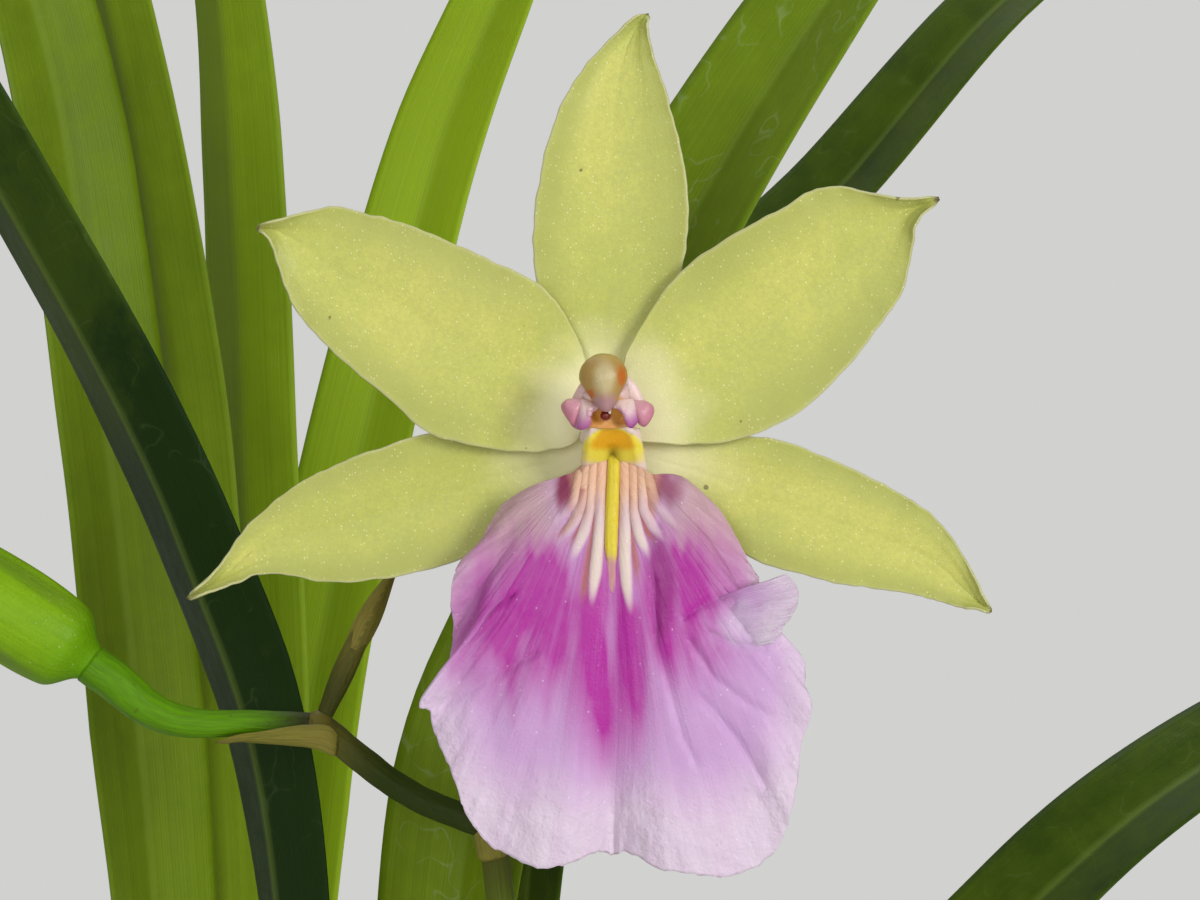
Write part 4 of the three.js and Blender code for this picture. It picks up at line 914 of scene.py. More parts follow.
def root_finish(look):
    """Chalky root skin with green tips and brown scars."""
    made, tree, shader = surface("Root", Specular_IOR_Level=0.25)
    cloud, grain = use(tree, clouds(), Scale=210)
    rings = node(tree, "ShaderNodeUVMap", uv_map="UVMap")[0]
    band = stretch(tree, speckle(tree, scaled(tree, rings, (1.5, 60, 1)), 1.0, 2.0, 0.5), 0.4, 0.62)
    skin = blend(tree, times(tree, cloud, 0.6), look.root, linear("8d8562"))
    skin = blend(tree, mask(tree, "old"), skin, linear("77603e"))
    skin = blend(tree, times(tree, band, 0.3), skin, linear("5b4a30"))
    skin = blend(tree, mask(tree, "tip"), skin, look.root_tip)
    height = plus(tree, grain, times(tree, band, 0.6))
    dress(tree, shader, skin, 0.72, bump(tree, height, 0.00025, 0.8))
    return made


def bark_finish(look):
    """Layered bark: streaks along each chip, painted shade in the gaps, a few pale scuffs."""
    made, tree, shader = surface("Bark", Specular_IOR_Level=0.25)
    cloud, grain = use(tree, clouds(), Scale=140)
    at = place_on(tree)
    layers = stretch(tree, speckle(tree, scaled(tree, at, (260, 260, 1400)), 1.0, 4.0, 0.6), 0.35, 0.65)
    tone = plus(tree, mask(tree, "tone"), times(tree, maths(tree, "SUBTRACT", layers, 0.5), 0.7))
    wood = blend(tree, tone, look.bark_dark, look.bark_light)
    wood = blend(tree, times(tree, cloud, 0.35), wood, linear("6b3c23"))
    scuff = stretch(tree, speckle(tree, at, 900, 3.0, 0.6), 0.62, 0.74)
    wood = blend(tree, times(tree, scuff, 0.4), wood, linear("b39472"))
    height = plus(tree, layers, grain)
    dress(tree, shader, wood, stretch(tree, grain, 0.3, 0.7, 0.7, 0.9), bump(tree, height, 0.0006, 0.9))
    return made


def clay_finish(look):
    """Fired clay: faint turning rings, grit, a pale mineral film and a damp foot."""
    made, tree, shader = surface("Clay", Specular_IOR_Level=0.3)
    at = place_on(tree)
    cloud, grain = use(tree, clouds(), Scale=14)
    heights = scaled(tree, at, (6, 6, 900))
    rings = speckle(tree, heights, 1.0, 3.0, 0.6)
    grit = node(tree, "ShaderNodeTexVoronoi", {"Vector": at, "Scale": 1300})["Distance"]
    clay = blend(tree, cloud, look.clay, linear("c27a4c"))
    clay = blend(tree, times(tree, stretch(tree, rings, 0.35, 0.65), 0.25), clay, linear("8d4a2a"))
    film = stretch(tree, speckle(tree, at, 38, 6.0, 0.7), 0.52, 0.7)
    film = maths(tree, "MAXIMUM", film, mask(tree, "film"))
    clay = blend(tree, times(tree, film, 0.45), clay, look.clay_bloom)
    clay = blend(tree, mask(tree, "damp"), clay, linear("7c4327"))
    clay = blend(tree, times(tree, stretch(tree, grit, 0.25, 0.05), 0.35), clay, linear("5d3420"))
    height = plus(tree, times(tree, rings, 0.8), times(tree, grit, 0.5))
    dress(tree, shader, clay, stretch(tree, grain, 0.3, 0.7, 0.75, 0.92), bump(tree, height, 0.0003, 0.8))
    return made


def plain_finish(name, base, roughness):
    """Plain painted board for the stage, with the faintest grain."""
    made, tree, shader = surface(name)
    grain = speckle(tree, place_on(tree), 30, 3.0, 0.6)
    dress(tree, shader, blend(tree, times(tree, grain, 0.06), base, linear("c8c6c2")), roughness,
          bump(tree, grain, 0.0002, 0.2))
    return made


# The pot, its bark and the roots.

def rounded(corners, radius, parts=4):
    """An outline whose inner corners are eased into short curves."""
    points = [Vector(corners[0])]
    for before, corner, after in zip(corners, corners[1:], corners[2:]):
        before, corner, after = Vector(before), Vector(corner), Vector(after)
        reach = min(radius, (before - corner).length / 2.2, (after - corner).length / 2.2)
        start = corner + (before - corner).normalized() * reach
        end = corner + (after - corner).normalized() * reach
        for i in range(parts + 1):
            k = i / parts
            points.append(start * (1 - k) ** 2 + corner * 2 * k * (1 - k) + end * k**2)
    return [*points, Vector(corners[-1])]


def turned(making, outline, steps):
    """A round body from its outline as (radius, height)."""
    bm = making.bm
    ring = [bm.verts.new((r, 0, z)) for r, z in outline]
    edges = [bm.edges.new(pair) for pair in zip(ring, ring[1:])]
    bmesh.ops.spin(bm, geom=[*ring, *edges], cent=(0, 0, 0), axis=(0, 0, 1), dvec=(0, 0, 0), angle=math.tau,
                   steps=steps, use_merge=True, use_duplicate=False)
    for face in bm.faces:
        face.smooth = True


def settle(piece):
    """Applies a piece's modifiers to its mesh."""
    made = bpy.data.meshes.new_from_object(piece.evaluated_get(bpy.context.evaluated_depsgraph_get()))
    piece.modifiers.clear()
    piece.data = made


def make_pot(look):
    """The clay pot, turned, with its drain holes cut."""
    height, foot, floor, wall = POT["height"], POT["foot"], POT["floor"], POT["wall"]
    wall_top, wall_radius, rim = POT["wall_top"], POT["wall_radius"], POT["rim_radius"]
    corners = [
        (0, 0), (foot, 0), (foot + 1.5, 1.5), (wall_radius, wall_top), (rim - 2.4, wall_top + 1.6),
        (rim, height - 1.6), (rim - 1.4, height), (rim - wall - 0.8, height),
        (rim - wall - 1.8, height - 1.6), (wall_radius - wall + 0.6, wall_top + 2),
        (foot - wall + 2.2, floor), (0, floor),
    ]
    making = Making("film", "damp")
    turned(making, [(p.x, p.y) for p in rounded(corners, 1.1)], 144)
    bmesh.ops.remove_doubles(making.bm, verts=making.bm.verts, dist=1e-3)
    long_edges = [e for e in making.bm.edges if abs(e.verts[0].co.z - e.verts[1].co.z) > 12]
    bmesh.ops.subdivide_edges(making.bm, edges=long_edges, cuts=24, use_grid_fill=True)
    for vertex in making.bm.verts:
        x, y, z = vertex.co
        ring = 0.05 * waver(z * 0.9, 3.1) + 0.1 * waver(x / 30, y / 30, z / 20)
        outward = Vector((x, y, 0)).normalized() if x or y else Vector()
        vertex.co += outward * ring
        around = math.atan2(y, x)
        film = 0.6 * smooth(0.1, 0.6, waver(around * 2.2, z / 24, 5)) * smooth(40, 100, z)
        vertex[making.masks["film"]] = film
        vertex[making.masks["damp"]] = 0.55 * (1 - smooth(4, 26 + 12 * waver(around * 1.7, 0, 2), z))
    pot = making.finish("clay_pot", [clay_finish(look)], ["pot"])
    cutter = bmesh.new()
    for i in range(DRAIN["count"]):
        angle = (i + 0.5) * math.tau / DRAIN["count"]
        at = Vector((math.cos(angle), math.sin(angle), 0)) * DRAIN["ring"]
        bmesh.ops.create_cone(cutter, cap_ends=True, segments=40, radius1=DRAIN["radius"],
                              radius2=DRAIN["radius"], depth=POT["floor"] * 3, matrix=Matrix.Translation(at))
    bmesh.ops.scale(cutter, vec=(MM, MM, MM), verts=cutter.verts)
    mesh = bpy.data.meshes.new("drain cutter")
    cutter.to_mesh(mesh)
    cutter.free()
    holes = bpy.data.objects.new("drain cutter", mesh)
    bpy.context.scene.collection.objects.link(holes)
    cut = pot.modifiers.new("drain", "BOOLEAN")
    cut.operation = "DIFFERENCE"
    cut.object = holes
    settle(pot)
    bpy.data.objects.remove(holes)


def inner_radius(z):
    """The pot's inner radius at a height."""
    low, shoulder = POT["foot"] - POT["wall"] + 2.2, POT["wall_radius"] - POT["wall"] + 0.6
    high, step = POT["rim_radius"] - POT["wall"] - 1.8, POT["wall_top"] + 2
    if z < step:
        return mix(low, shoulder, (z - POT["floor"]) / (step - POT["floor"]))
    return mix(shoulder, high, (z - step) / (POT["height"] - 1.6 - step))


def clear_of_growths(x, y, room):
    """True where a chip of bark doesn't bury a pseudobulb's foot or the stalk's."""
    for _, (cx, cy), _, degrees in BULBS:
        turn = math.radians(degrees)
        along = (x - cx) * math.cos(turn) + (y - cy) * math.sin(turn)
        across = (y - cy) * math.cos(turn) - (x - cx) * math.sin(turn)
        if math.hypot(along / (BULB["wide"] * 0.7 + room), across / (BULB["thick"] * 0.7 + room)) < 1:
            return False
    spots = [SHOOT["at"][:2], STALK_FOOT[0][:2]] + [leaf[4][0][:2] for leaf in LEAVES if leaf[4][0][2] < 110]
    return all(math.hypot(x - cx, y - cy) > 2.5 + room for cx, cy in spots)


def make_bark(look):
    """Bark that fills the pot, with loose chips on top."""
    making = Making("tone")
    low = POT["floor"] + 0.3
    step = POT["wall_top"] + 2
    turned(making, [(0, low), (inner_radius(low) - 0.3, low), (inner_radius(step) - 0.3, step),
                    (inner_radius(BARK_TOP) - 0.3, BARK_TOP - 2), (0, BARK_TOP - 1.5)], 64)
    # The body under the chips is painted nearly the darkest bark colour: painted shade in the gaps between
    # the chips.
    making.paint(making.bm.verts, tone=0.05)
    draw = random.Random(CHIP_SEED)
    noise.seed_set(CHIP_SEED)
    size = look.chip / MM
    laid = 0
    while laid < look.chips:
        reach = (inner_radius(BARK_TOP) - 5) * math.sqrt(draw.random())
        angle = draw.random() * math.tau
        x, y = reach * math.cos(angle), reach * math.sin(angle)
        grow = 0.55 + 0.75 * draw.random()
        if not clear_of_growths(x, y, 1.5 * grow):
            laid += 0.25
            continue
        laid += 1
        layer = laid / look.chips
        made = bmesh.ops.create_cube(making.bm, size=1)["verts"]
        edges = list(dict.fromkeys(e for v in made for e in v.link_edges))
        made = bmesh.ops.bevel(making.bm, geom=[*made, *edges], offset=0.13, affect="EDGES", segments=1,
                               profile=0.5, material=-1)["verts"]
        box = (size * grow, size * 0.72 * grow * (0.7 + 0.5 * draw.random()),
               size * 0.34 * grow * (0.7 + 0.6 * draw.random()))
        seed = Vector((draw.random() * 90, draw.random() * 90, draw.random() * 90))
        for vertex in made:
            vertex.co += noise.noise_vector(vertex.co * 1.3 + seed) * 0.2
            vertex.co = Vector(c * b for c, b in zip(vertex.co, box))
        tilt = Matrix.Rotation(draw.gauss(0, 0.3), 4, "X") @ Matrix.Rotation(draw.gauss(0, 0.3), 4, "Y")
        turn = Matrix.Translation((x, y, BARK_TOP - 2.5 + 4.2 * layer + draw.random() * 1.4)) \
            @ Matrix.Rotation(draw.random() * math.tau, 4, "Z") @ tilt
        bmesh.ops.transform(making.bm, matrix=turn, verts=made)
        for vertex in made:
            out = math.hypot(vertex.co.x, vertex.co.y)
            limit = inner_radius(clamp(vertex.co.z, POT["floor"], POT["height"] - 2)) - 0.6
            if out > limit:
                vertex.co.x *= limit / out
                vertex.co.y *= limit / out
        making.paint(made, tone=clamp(draw.gauss(0.5, 0.24)))
    making.finish("bark_chips", [bark_finish(look)], ["potting_bark"], merge=1e-5)


def make_roots(look):
    """The creeping rhizome with its surface roots."""
    making = Making("tip", "old")
    for run in RHIZOME_RUNS:
        points = [(x, y, RHIZOME_Z) for x, y in run]

        def size(s, angle, count=len(run)):
            scar = 0.22 * (0.5 + 0.5 * math.cos(s * math.tau * count * 2.5)) ** 4
            r = RHIZOME_RADIUS * min(1, min(s, 1 - s) * 9 + 0.35) + scar + 0.2 * waver(s * 14, angle * 1.3)
            return r, r

        making.tube(points, (0, 0, 1), size, 30 * len(run), 24, lambda s, t, p: {"old": 0.85})
    for i, root in enumerate(ROOTS):
        heights = [RHIZOME_Z, RHIZOME_Z + 1.2, RHIZOME_Z, RHIZOME_Z - 9]
        points = [(x, y, z) for (x, y), z in zip(root, heights)]

        def size(s, angle, turn=i * 3.7):
            r = ROOT_RADIUS * (1 + 0.14 * waver(s * 16, turn) + 0.06 * waver(s * 50, angle, turn))
            return r, r

        making.tube(points, (0, 0.3, 1), size, 90, 16,
                    lambda s, t, p: {"tip": 0.0, "old": 0.25 * (1 - smooth(0, 0.2, s))})
    making.finish("rhizome", [root_finish(look)], ["rhizome_and_roots"])


# Pseudobulbs, leaves and the young shoot.

def bulb_swell(s):
    return mix(0.5, 1, smooth(0, 0.3, s)) * mix(1, BULB["neck"] / BULB["wide"], smooth(0.34, 1, s))


def make_bulb(name, at, neck, degrees, materials):
    """A flattened, ribbed pseudobulb with a dry sheath that clasps its foot and splits."""
    making = Making("groove", "scar")
    foot = RHIZOME_TOP + 0.3
    cos, sin = math.cos(math.radians(degrees)), math.sin(math.radians(degrees))
    points = [(at[0], at[1], foot), (at[0], at[1], foot + 24),
              (mix(at[0], neck[0], 0.6), mix(at[1], neck[1], 0.6), 150), neck]
    turn = at[0] * 0.37

    def ribs(s, angle):
        return 0.5 - 0.5 * math.cos(angle * BULB["ribs"] + 0.7 * waver(s * 2, turn))

    def size(s, angle):
        deep = 2.1 * BULB["rib_depth"] * ribs(s, angle) ** 1.6
        rib = 1 - deep * smooth(0, 0.2, s) * (1 - 0.5 * smooth(0.7, 1, s))
        rings = 0.02 * smooth(0.85, 0.97, s) * (0.5 + 0.5 * math.cos(s * 190))
        wrinkle = 1 + 0.02 * waver(s * 9, angle * 2, turn) - rings
        thin = mix(1, 1.15, smooth(0.5, 1, s))
        closing = 1 - 0.55 * smooth(0.975, 1, s)
        r = bulb_swell(s) * rib * wrinkle * closing
        return BULB["wide"] * r, BULB["thick"] * r * thin

    def masks(s, t, p):
        return {"groove": 0.8 * ribs(s, math.pi * t) ** 2,
                "scar": smooth(0.93, 0.975, s + 0.012 * waver(t * 9, turn))}

    making.tube(points, (cos, sin, 0), size, 90, 96, masks)
    for side, height, start in ((1, 1.0, 0), (-1, 0.72, 0.4)):
        def husk(s, t, side=side, height=height, start=start):
            wrap = mix(1.5, 0.16, s**1.7) * (1 + 0.1 * waver(s * 6, t * 3 + turn, start * 9))
            angle = t * wrap
            at_share = s * 0.5 * height
            gap = 0.35 + 0.5 * s**2 + 0.25 * (1 + waver(s * 7, t * 2, turn + start))
            out = side * (BULB["wide"] * bulb_swell(at_share) + gap) * math.cos(angle)
            across = (BULB["thick"] * bulb_swell(at_share) + gap) * math.sin(angle)
            rise = foot + 0.4 + s * BULB["sheath"] * height + 1.2 * waver(t * 8, turn) * smooth(0.4, 1, s)
            return Vector((at[0] + cos * out - sin * across, at[1] + sin * out + cos * across, rise))
        making.slab(44, 22, husk, 0.3, material=1)
    making.finish(name.replace("pseudobulb", "bulb"), materials, [name])


LEAF_MASKS = ("fresh", "rib", "foot", "tip", "marks")
LEAF_GRID = (130, 18)
MIDRIB_EXTRA = 0.5  # how much thicker a leaf is at its midrib
MARKED_LEAF = "leaf_front_right"
NECK_REACH = 6  # how near a leaf starts to the neck that it grows from
ROOTED_DEPTH = 5  # how far it is run down into that neck


def leaf_place(points, width, turns, seed=0.0):
    """A strap leaf's surface, folded along its midrib at the base, channelled above, with a sharp tip."""
    path = Path(points)
    outward = Vector(points[-1]) - Vector(points[0])
    level = Vector((0, 0, 1)).cross(Vector((outward.x, outward.y, 0)).normalized())

    @functools.cache
    def section(s):
        along = path.heading(s)
        turn = mix(turns[0], turns[1], s * 2) if s < 0.5 else mix(turns[1], turns[2], s * 2 - 1)
        across = (level - along * level.dot(along)).normalized()
        across.rotate(Quaternion(along, math.radians(turn)))
        widen = mix(LEAF["base_width"], 1, smooth(0, 0.42, s))
        narrow = math.sqrt(max(0, 1 - smooth(0.62, 1, s) ** 1.5)) * (1 - 0.25 * smooth(0.8, 1, s))
        fold = mix(LEAF["base_fold"], LEAF["fold"], smooth(0, 0.35, s))
        return path.along(s), across, along.cross(across), max(0.12, width / 2 * widen * narrow), fold

    def place(s, t):
        middle, across, up, half, fold = section(s)
        flat = 1 / math.hypot(1, fold)
        rise = math.sqrt(t * t + LEAF["round"] ** 2) - LEAF["round"] - 0.1 * t**4
        edge = 0.25 * waver(s * 13, seed, 1 if t > 0 else 8) * t**2 * smooth(0.1, 0.3, s)
        ripple = 0.14 * waver(s * 22, t * 1.6, seed)
        return middle + across * (t * half * flat * (1 + 0.012 * waver(s * 30, seed))) \
            + up * (rise * half * fold * flat + edge + ripple)

    return place


def leaf_masks(fresh, marks=0.0, dry=0.5, foot=0.7):
    """What a leaf shows along it: its foot, its dry tip, its midrib and how fresh it is, with painted light
    and shade.
    """
    return lambda s, t, p: {
        "fresh": fresh,
        "rib": (1 - smooth(0.02, 0.07, abs(t))) * smooth(0.05, 0.3, s),
        "foot": foot * (1 - smooth(0.02, 0.2, s)),
        "tip": dry * smooth(0.975, 0.998, s + 0.01 * waver(t * 4, fresh * 9)),
        "marks": marks * smooth(0.1, 0.3, s),
    }


def leaf_weight(s, t):
    """How thick a leaf is across it: thin at its margins, thickest along its midrib."""
    return mix(1, 0.25, smooth(0.55, 1, abs(t))) + MIDRIB_EXTRA * (1 - smooth(0, 0.12, abs(t)))


def rooted(points):
    """A leaf's midrib with its start run down into the neck of the pseudobulb under it, if one is there."""
    start = Vector(points[0])
    for neck in (Vector(bulb[2]) for bulb in BULBS):
        if (start - neck).length < NECK_REACH:
            foot = neck.lerp(start, 0.35) - Vector((0, 0, ROOTED_DEPTH))
            return [foot, neck.lerp(start, 0.85), *points[1:]]
    return points


def make_leaf(name, width, turns, fresh, points, look, material):
    """One strap leaf. One of them carries most of the dried drops."""
    making = Making(*LEAF_MASKS)
    points = rooted(points)
    marks = 1.0 if name == MARKED_LEAF else 0.2
    place = leaf_place(points, width, turns, points[0][0] * 0.31)
    making.sheet(*LEAF_GRID, place, leaf_masks(fresh, marks), leaf_weight)
    blade = making.finish(name.replace("leaf", "blade"), [material], [name])
    give_thickness(blade, look.leaf_thickness / (1 + MIDRIB_EXTRA))


def make_shoot(material):
    """A young fan of blades that clasp one another at the foot."""
    making = Making(*LEAF_MASKS)
    x, y, z = SHOOT["at"]
    fan = Vector((math.cos(math.radians(SHOOT["plane"])), math.sin(math.radians(SHOOT["plane"])), 0))
    for lean, long, width, step in SHOOT["blades"]:
        points = []
        for share in (0, 0.3, 0.65, 1):
            angle = math.radians(lean * share)
            over = step + math.sin(angle) * long * share
            points.append((x + fan.x * over, y + fan.y * over, z + 0.6 + long * share * math.cos(angle)))
        making.slab(60, 12, leaf_place(points, width, (0, 0, 0), step), 0.5, leaf_masks(0.8, 0, 0.2))
    making.tube([(x, y, z), (x, y, z + 9), (x, y, z + 20)], fan,
                lambda s, a: (mix(5.4, 2.6, s), mix(3.2, 1.2, s)), 24, 32, leaf_masks(0.85, 0, 0, 1))
    making.finish("shoot", [material], ["young_shoot"])


# The flower stalk, its pedicels and the bud.

def clasp(making, centre, radius, wrap, side, thickness):
    """A pointed bract, of the second material, that clasps one side of a stalk, centre(0) to centre(1)."""
    along = (centre(1) - centre(0)).normalized()
    out = (Vector(side) - along * Vector(side).dot(along)).normalized()
    other = along.cross(out)

    def place(s, t):
        angle = t * wrap * (1.01 - s) ** 0.75 * (1 + 0.05 * waver(s * 8, t * 2, radius))
        r = radius * (1 + 0.06 * (1 - smooth(0.1, 0.5, s)) - 0.3 * (1 - smooth(0, 0.12, s)) ** 2)
        r += 0.35 * smooth(0.8, 1, s) + 0.05 * waver(s * 6, t * 3, wrap)
        return centre(s) + out * (r * math.cos(angle)) + other * (r * math.sin(angle))

    making.slab(26, 22, place, thickness, material=1)


def between(a, b):
    return lambda s: Vector(a).lerp(Vector(b), s)


FRONT = (0, -1, 0)
SIDE = (0, 1, 0.2)


def make_stalk(stalk, bract):
    """The flower stalk: long foot, zigzag upper part with a node at each bend, bracts and an unopened tip."""
    making = Making("dry", "fresh")
    first, second, third, tip = (Vector(p) + BLOOM for p in RACHIS)
    foot = Path(STALK_FOOT)

    def plain(a, b, lumps=0.0):
        return lambda s, angle: (mix(a, b, s) * (1 + lumps * waver(s * 12, angle)),) * 2

    making.tube(foot, SIDE, plain(*STALK_RADII, 0.03), 110, 24,
                lambda s, t, p: {"fresh": 0.5 * (1 - smooth(0.95, 1, s)), "dry": 0.22})
    middle = (first + second) / 2 - Vector((0, 0, 1.2))
    making.tube([first, middle, second], SIDE, plain(STALK_RADII[1], STALK_RADII[1], 0.05), 40, 24,
                lambda s, t, p: {"dry": 0.35 * smooth(0.6, 1, s), "fresh": 0.12})
    up_bud = between(third, tip)

    def internode(s, angle):
        r = mix(0.64, 0.95, smooth(0, 0.6, s)) - 0.1 * smooth(0.65, 1, s)
        return r, r

    def spindle(s, angle):
        r = mix(0.86, 1.0, smooth(0, 0.2, s)) * (1 - 0.9 * smooth(0.25, 1, s))
        r *= 1 - 0.07 * math.cos(3 * angle)
        return r, r

    making.tube([second, between(second, third)(0.55), up_bud(0.05)], SIDE, internode, 30, 24,
                lambda s, t, p: {"dry": 0.1 + 0.35 * smooth(0.3, 0.9, s), "fresh": 0.1})
    making.tube([between(second, third)(0.86), up_bud(0.5), tip], SIDE, spindle, 44, 30,
                lambda s, t, p: {"dry": 1 - 0.4 * smooth(0.4, 0.9, -t),
                                 "fresh": 0.2 * (1 - smooth(0.0, 0.5, s))})
    for place, radius in zip((first, second), KNOT_RADII):
        knot = bmesh.ops.create_uvsphere(making.bm, u_segments=28, v_segments=18, radius=radius)["verts"]
        for vertex in knot:
            vertex.co *= 1 + 0.08 * waver(*(vertex.co * 0.9))
            for face in vertex.link_faces:
                face.smooth = True
        bmesh.ops.translate(making.bm, vec=place, verts=knot)
        making.paint(knot, dry=0.5, fresh=0.0)
    clasp(making, Path([second + Vector(v) for v in UPPER_BRACT]).along, 1.36, 1.9, (0, -0.5, -1), 0.2)
    clasp(making, between(*(first + Vector(v) for v in LOWER_BRACT)), 1.22, 2, FRONT, 0.16)
    for share, long in STALK_SHEATHS:
        reach = long / foot.reach[-1]
        radius = mix(*STALK_RADII, share) + 0.12
        clasp(making, lambda s, a=share, r=reach: foot.along(a + r * s), radius, 2.9, FRONT, 0.24)
    making.finish("stalk", [stalk, bract], ["flower_stalk"])


def make_pedicels(stalk):
    """The stalks of the open bloom and of the bud."""
    making = Making("dry", "fresh")

    def bloom_size(s, angle):
        r = mix(1.5, 1.1, smooth(0, 0.5, s)) + (1 - smooth(0, 0.12, s))
        r *= 1 - 0.05 * (0.5 + 0.5 * math.cos(6 * angle)) * (1 - s)
        return r, r

    making.tube(BLOOM_PEDICEL, (1, 0, 0), bloom_size, 80, 36, lambda s, t, p: {"fresh": 0.8, "dry": 0.1 * s})
    making.finish("pedicel_of_bloom", [stalk], ["bloom_pedicel"], BLOOM)
    making = Making("dry", "fresh")

    def bud_size(s, angle):
        r = mix(1.0, 1.72, smooth(0.1, 0.93, s) ** 1.3) * (1 - 0.04 * (0.5 + 0.5 * math.cos(6 * angle)))
        return r, r

    making.tube(BUD_PEDICEL, (0, 1, 0), bud_size, 70, 36,
                lambda s, t, p: {"fresh": smooth(0.0, 0.3, s), "dry": 0.0})
    making.finish("pedicel_of_bud", [stalk], ["bud_pedicel"], BLOOM)


def make_bud(material):
    """The plump pointed bud, with three seams where its sepals meet."""
    making = Making("seam", "foot")

    def seam(s, angle):
        line = abs(math.cos(1.5 * angle + 0.1 * waver(s * 3, 1)))
        return (1 - smooth(0.0, 0.14, 1 - line)) * smooth(0.05, 0.25, s)

    def size(s, angle):
        foot = mix(0.5, 1, math.sin(math.pi / 2 * smooth(0, 0.13, s)))
        plump = math.sin(math.pi * mix(0.2, 0.985, s) ** 0.86) ** 0.8 * foot
        r = BUD_RADIUS * plump * (1 - 0.05 * (0.5 + 0.5 * math.cos(3 * angle)) * smooth(0.15, 0.4, s))
        r *= 1 - 0.035 * seam(s, angle)
        return r, r

    middle = (BUD_BASE + BUD_TIP) / 2 + Vector((0, 0, -0.5))
    making.tube([BUD_BASE, middle, BUD_TIP], (0, 1, 0), size, 110, 96,
                lambda s, t, p: {"seam": 0.6 * seam(s, math.pi * t),
                                 "foot": 0.85 * (1 - smooth(0.0, 0.2, s))})
    making.finish("flower_bud", [material], ["bud"], BLOOM)


# The open bloom.

TEPAL_GRID = (120, 56)
TEPAL_PALE = 9.4  # how far from the bloom's middle a tepal is pale: its own pale base, partly painted light
# The side sepals' pale base reaches further: painted light where the petals shade them.
SIDE_SEPAL_PALE = 12.5


def make_tepal(name, shape, look, material):
    """A sepal or petal between its two edges, a little hollow across and grooved along its middle."""
    depth, reach, cup, tip_cup, left, right = shape
    a, b = (Path([(x, 0, z) for x, z in edge]) for edge in (left, right))
    seed = depth * 3 + reach * 5 + left[-1][0]
    pale_reach = SIDE_SEPAL_PALE if name.startswith("lateral") else TEPAL_PALE
    making = Making("base", "edge", "rim", "tip")

    @functools.cache
    def edges(s):
        p, q = a.at(s), b.at(s)
        middle = (p + q) / 2
        close = smooth(0.985, 1, s)
        return p.lerp(middle, close), q.lerp(middle, close)

    def place(s, t):
        p, q = edges(s)
        spot = p.lerp(q, (t + 1) / 2)
        tip_hollow = tip_cup * smooth(0.7, 0.95, s) * (1 - smooth(0.95, 1, s))
        hollow = (cup * math.sin(math.pi * s) + tip_hollow) * t * t
        groove = 0.05 * math.exp(-((t / 0.09) ** 2)) * smooth(0.05, 0.2, s)
        swell = 0.35 * waver(spot.x / 7, spot.z / 7, seed) * smooth(0.1, 0.3, s) * (1 - smooth(0.9, 1, s))
        crimp = 0.3 * waver(s * 17, seed, 4 if t > 0 else 9) * t**4 * smooth(0.15, 0.3, s)
        spot.y = depth + reach * s * s + hollow + groove + swell + crimp
        nick = 0.12 * waver(s * 34, seed, 2 if t > 0 else 7) * t**6 * (1 - smooth(0.9, 1, s))
        return spot + (q - p).normalized() * nick if (q - p).length > 0.05 else spot

    def masks(s, t, p):
        out = math.hypot(p.x - 0.4, p.z - 0.5)
        ragged = out + 1.2 * waver(p.x / 2.5, p.z / 2.5, seed)
        return {
            # base: the pale middle, partly painted light against the shade between the tepals' bases.
            "base": 0.95 * (1 - smooth(2.6, pale_reach, ragged)),
            # edge: painted shade, growing towards the margins and the tip.
            "edge": 0.8 * smooth(0.3, 0.95, abs(t) + 0.1 * waver(s * 6, t * 2, seed)) * smooth(0.1, 0.4, s)
                    + 0.5 * smooth(0.75, 1, s),
            "rim": 0.7 * smooth(0.955, 1, abs(t)) * smooth(0.05, 0.3, s),
            "tip": 0.85 * smooth(0.978, 0.996, s),
        }

    def weight(s, t):
        return mix(1, 0.22, smooth(0.6, 1, abs(t))) * mix(1, 0.6, smooth(0.9, 1, s))

    making.sheet(*TEPAL_GRID, place, masks, weight)
    give_thickness(making.finish(name + "_flesh", [material], [name], BLOOM), look.tepal_thickness)


LIP_GRID = (150, 260)
FLAP_GRID = (30, 40)


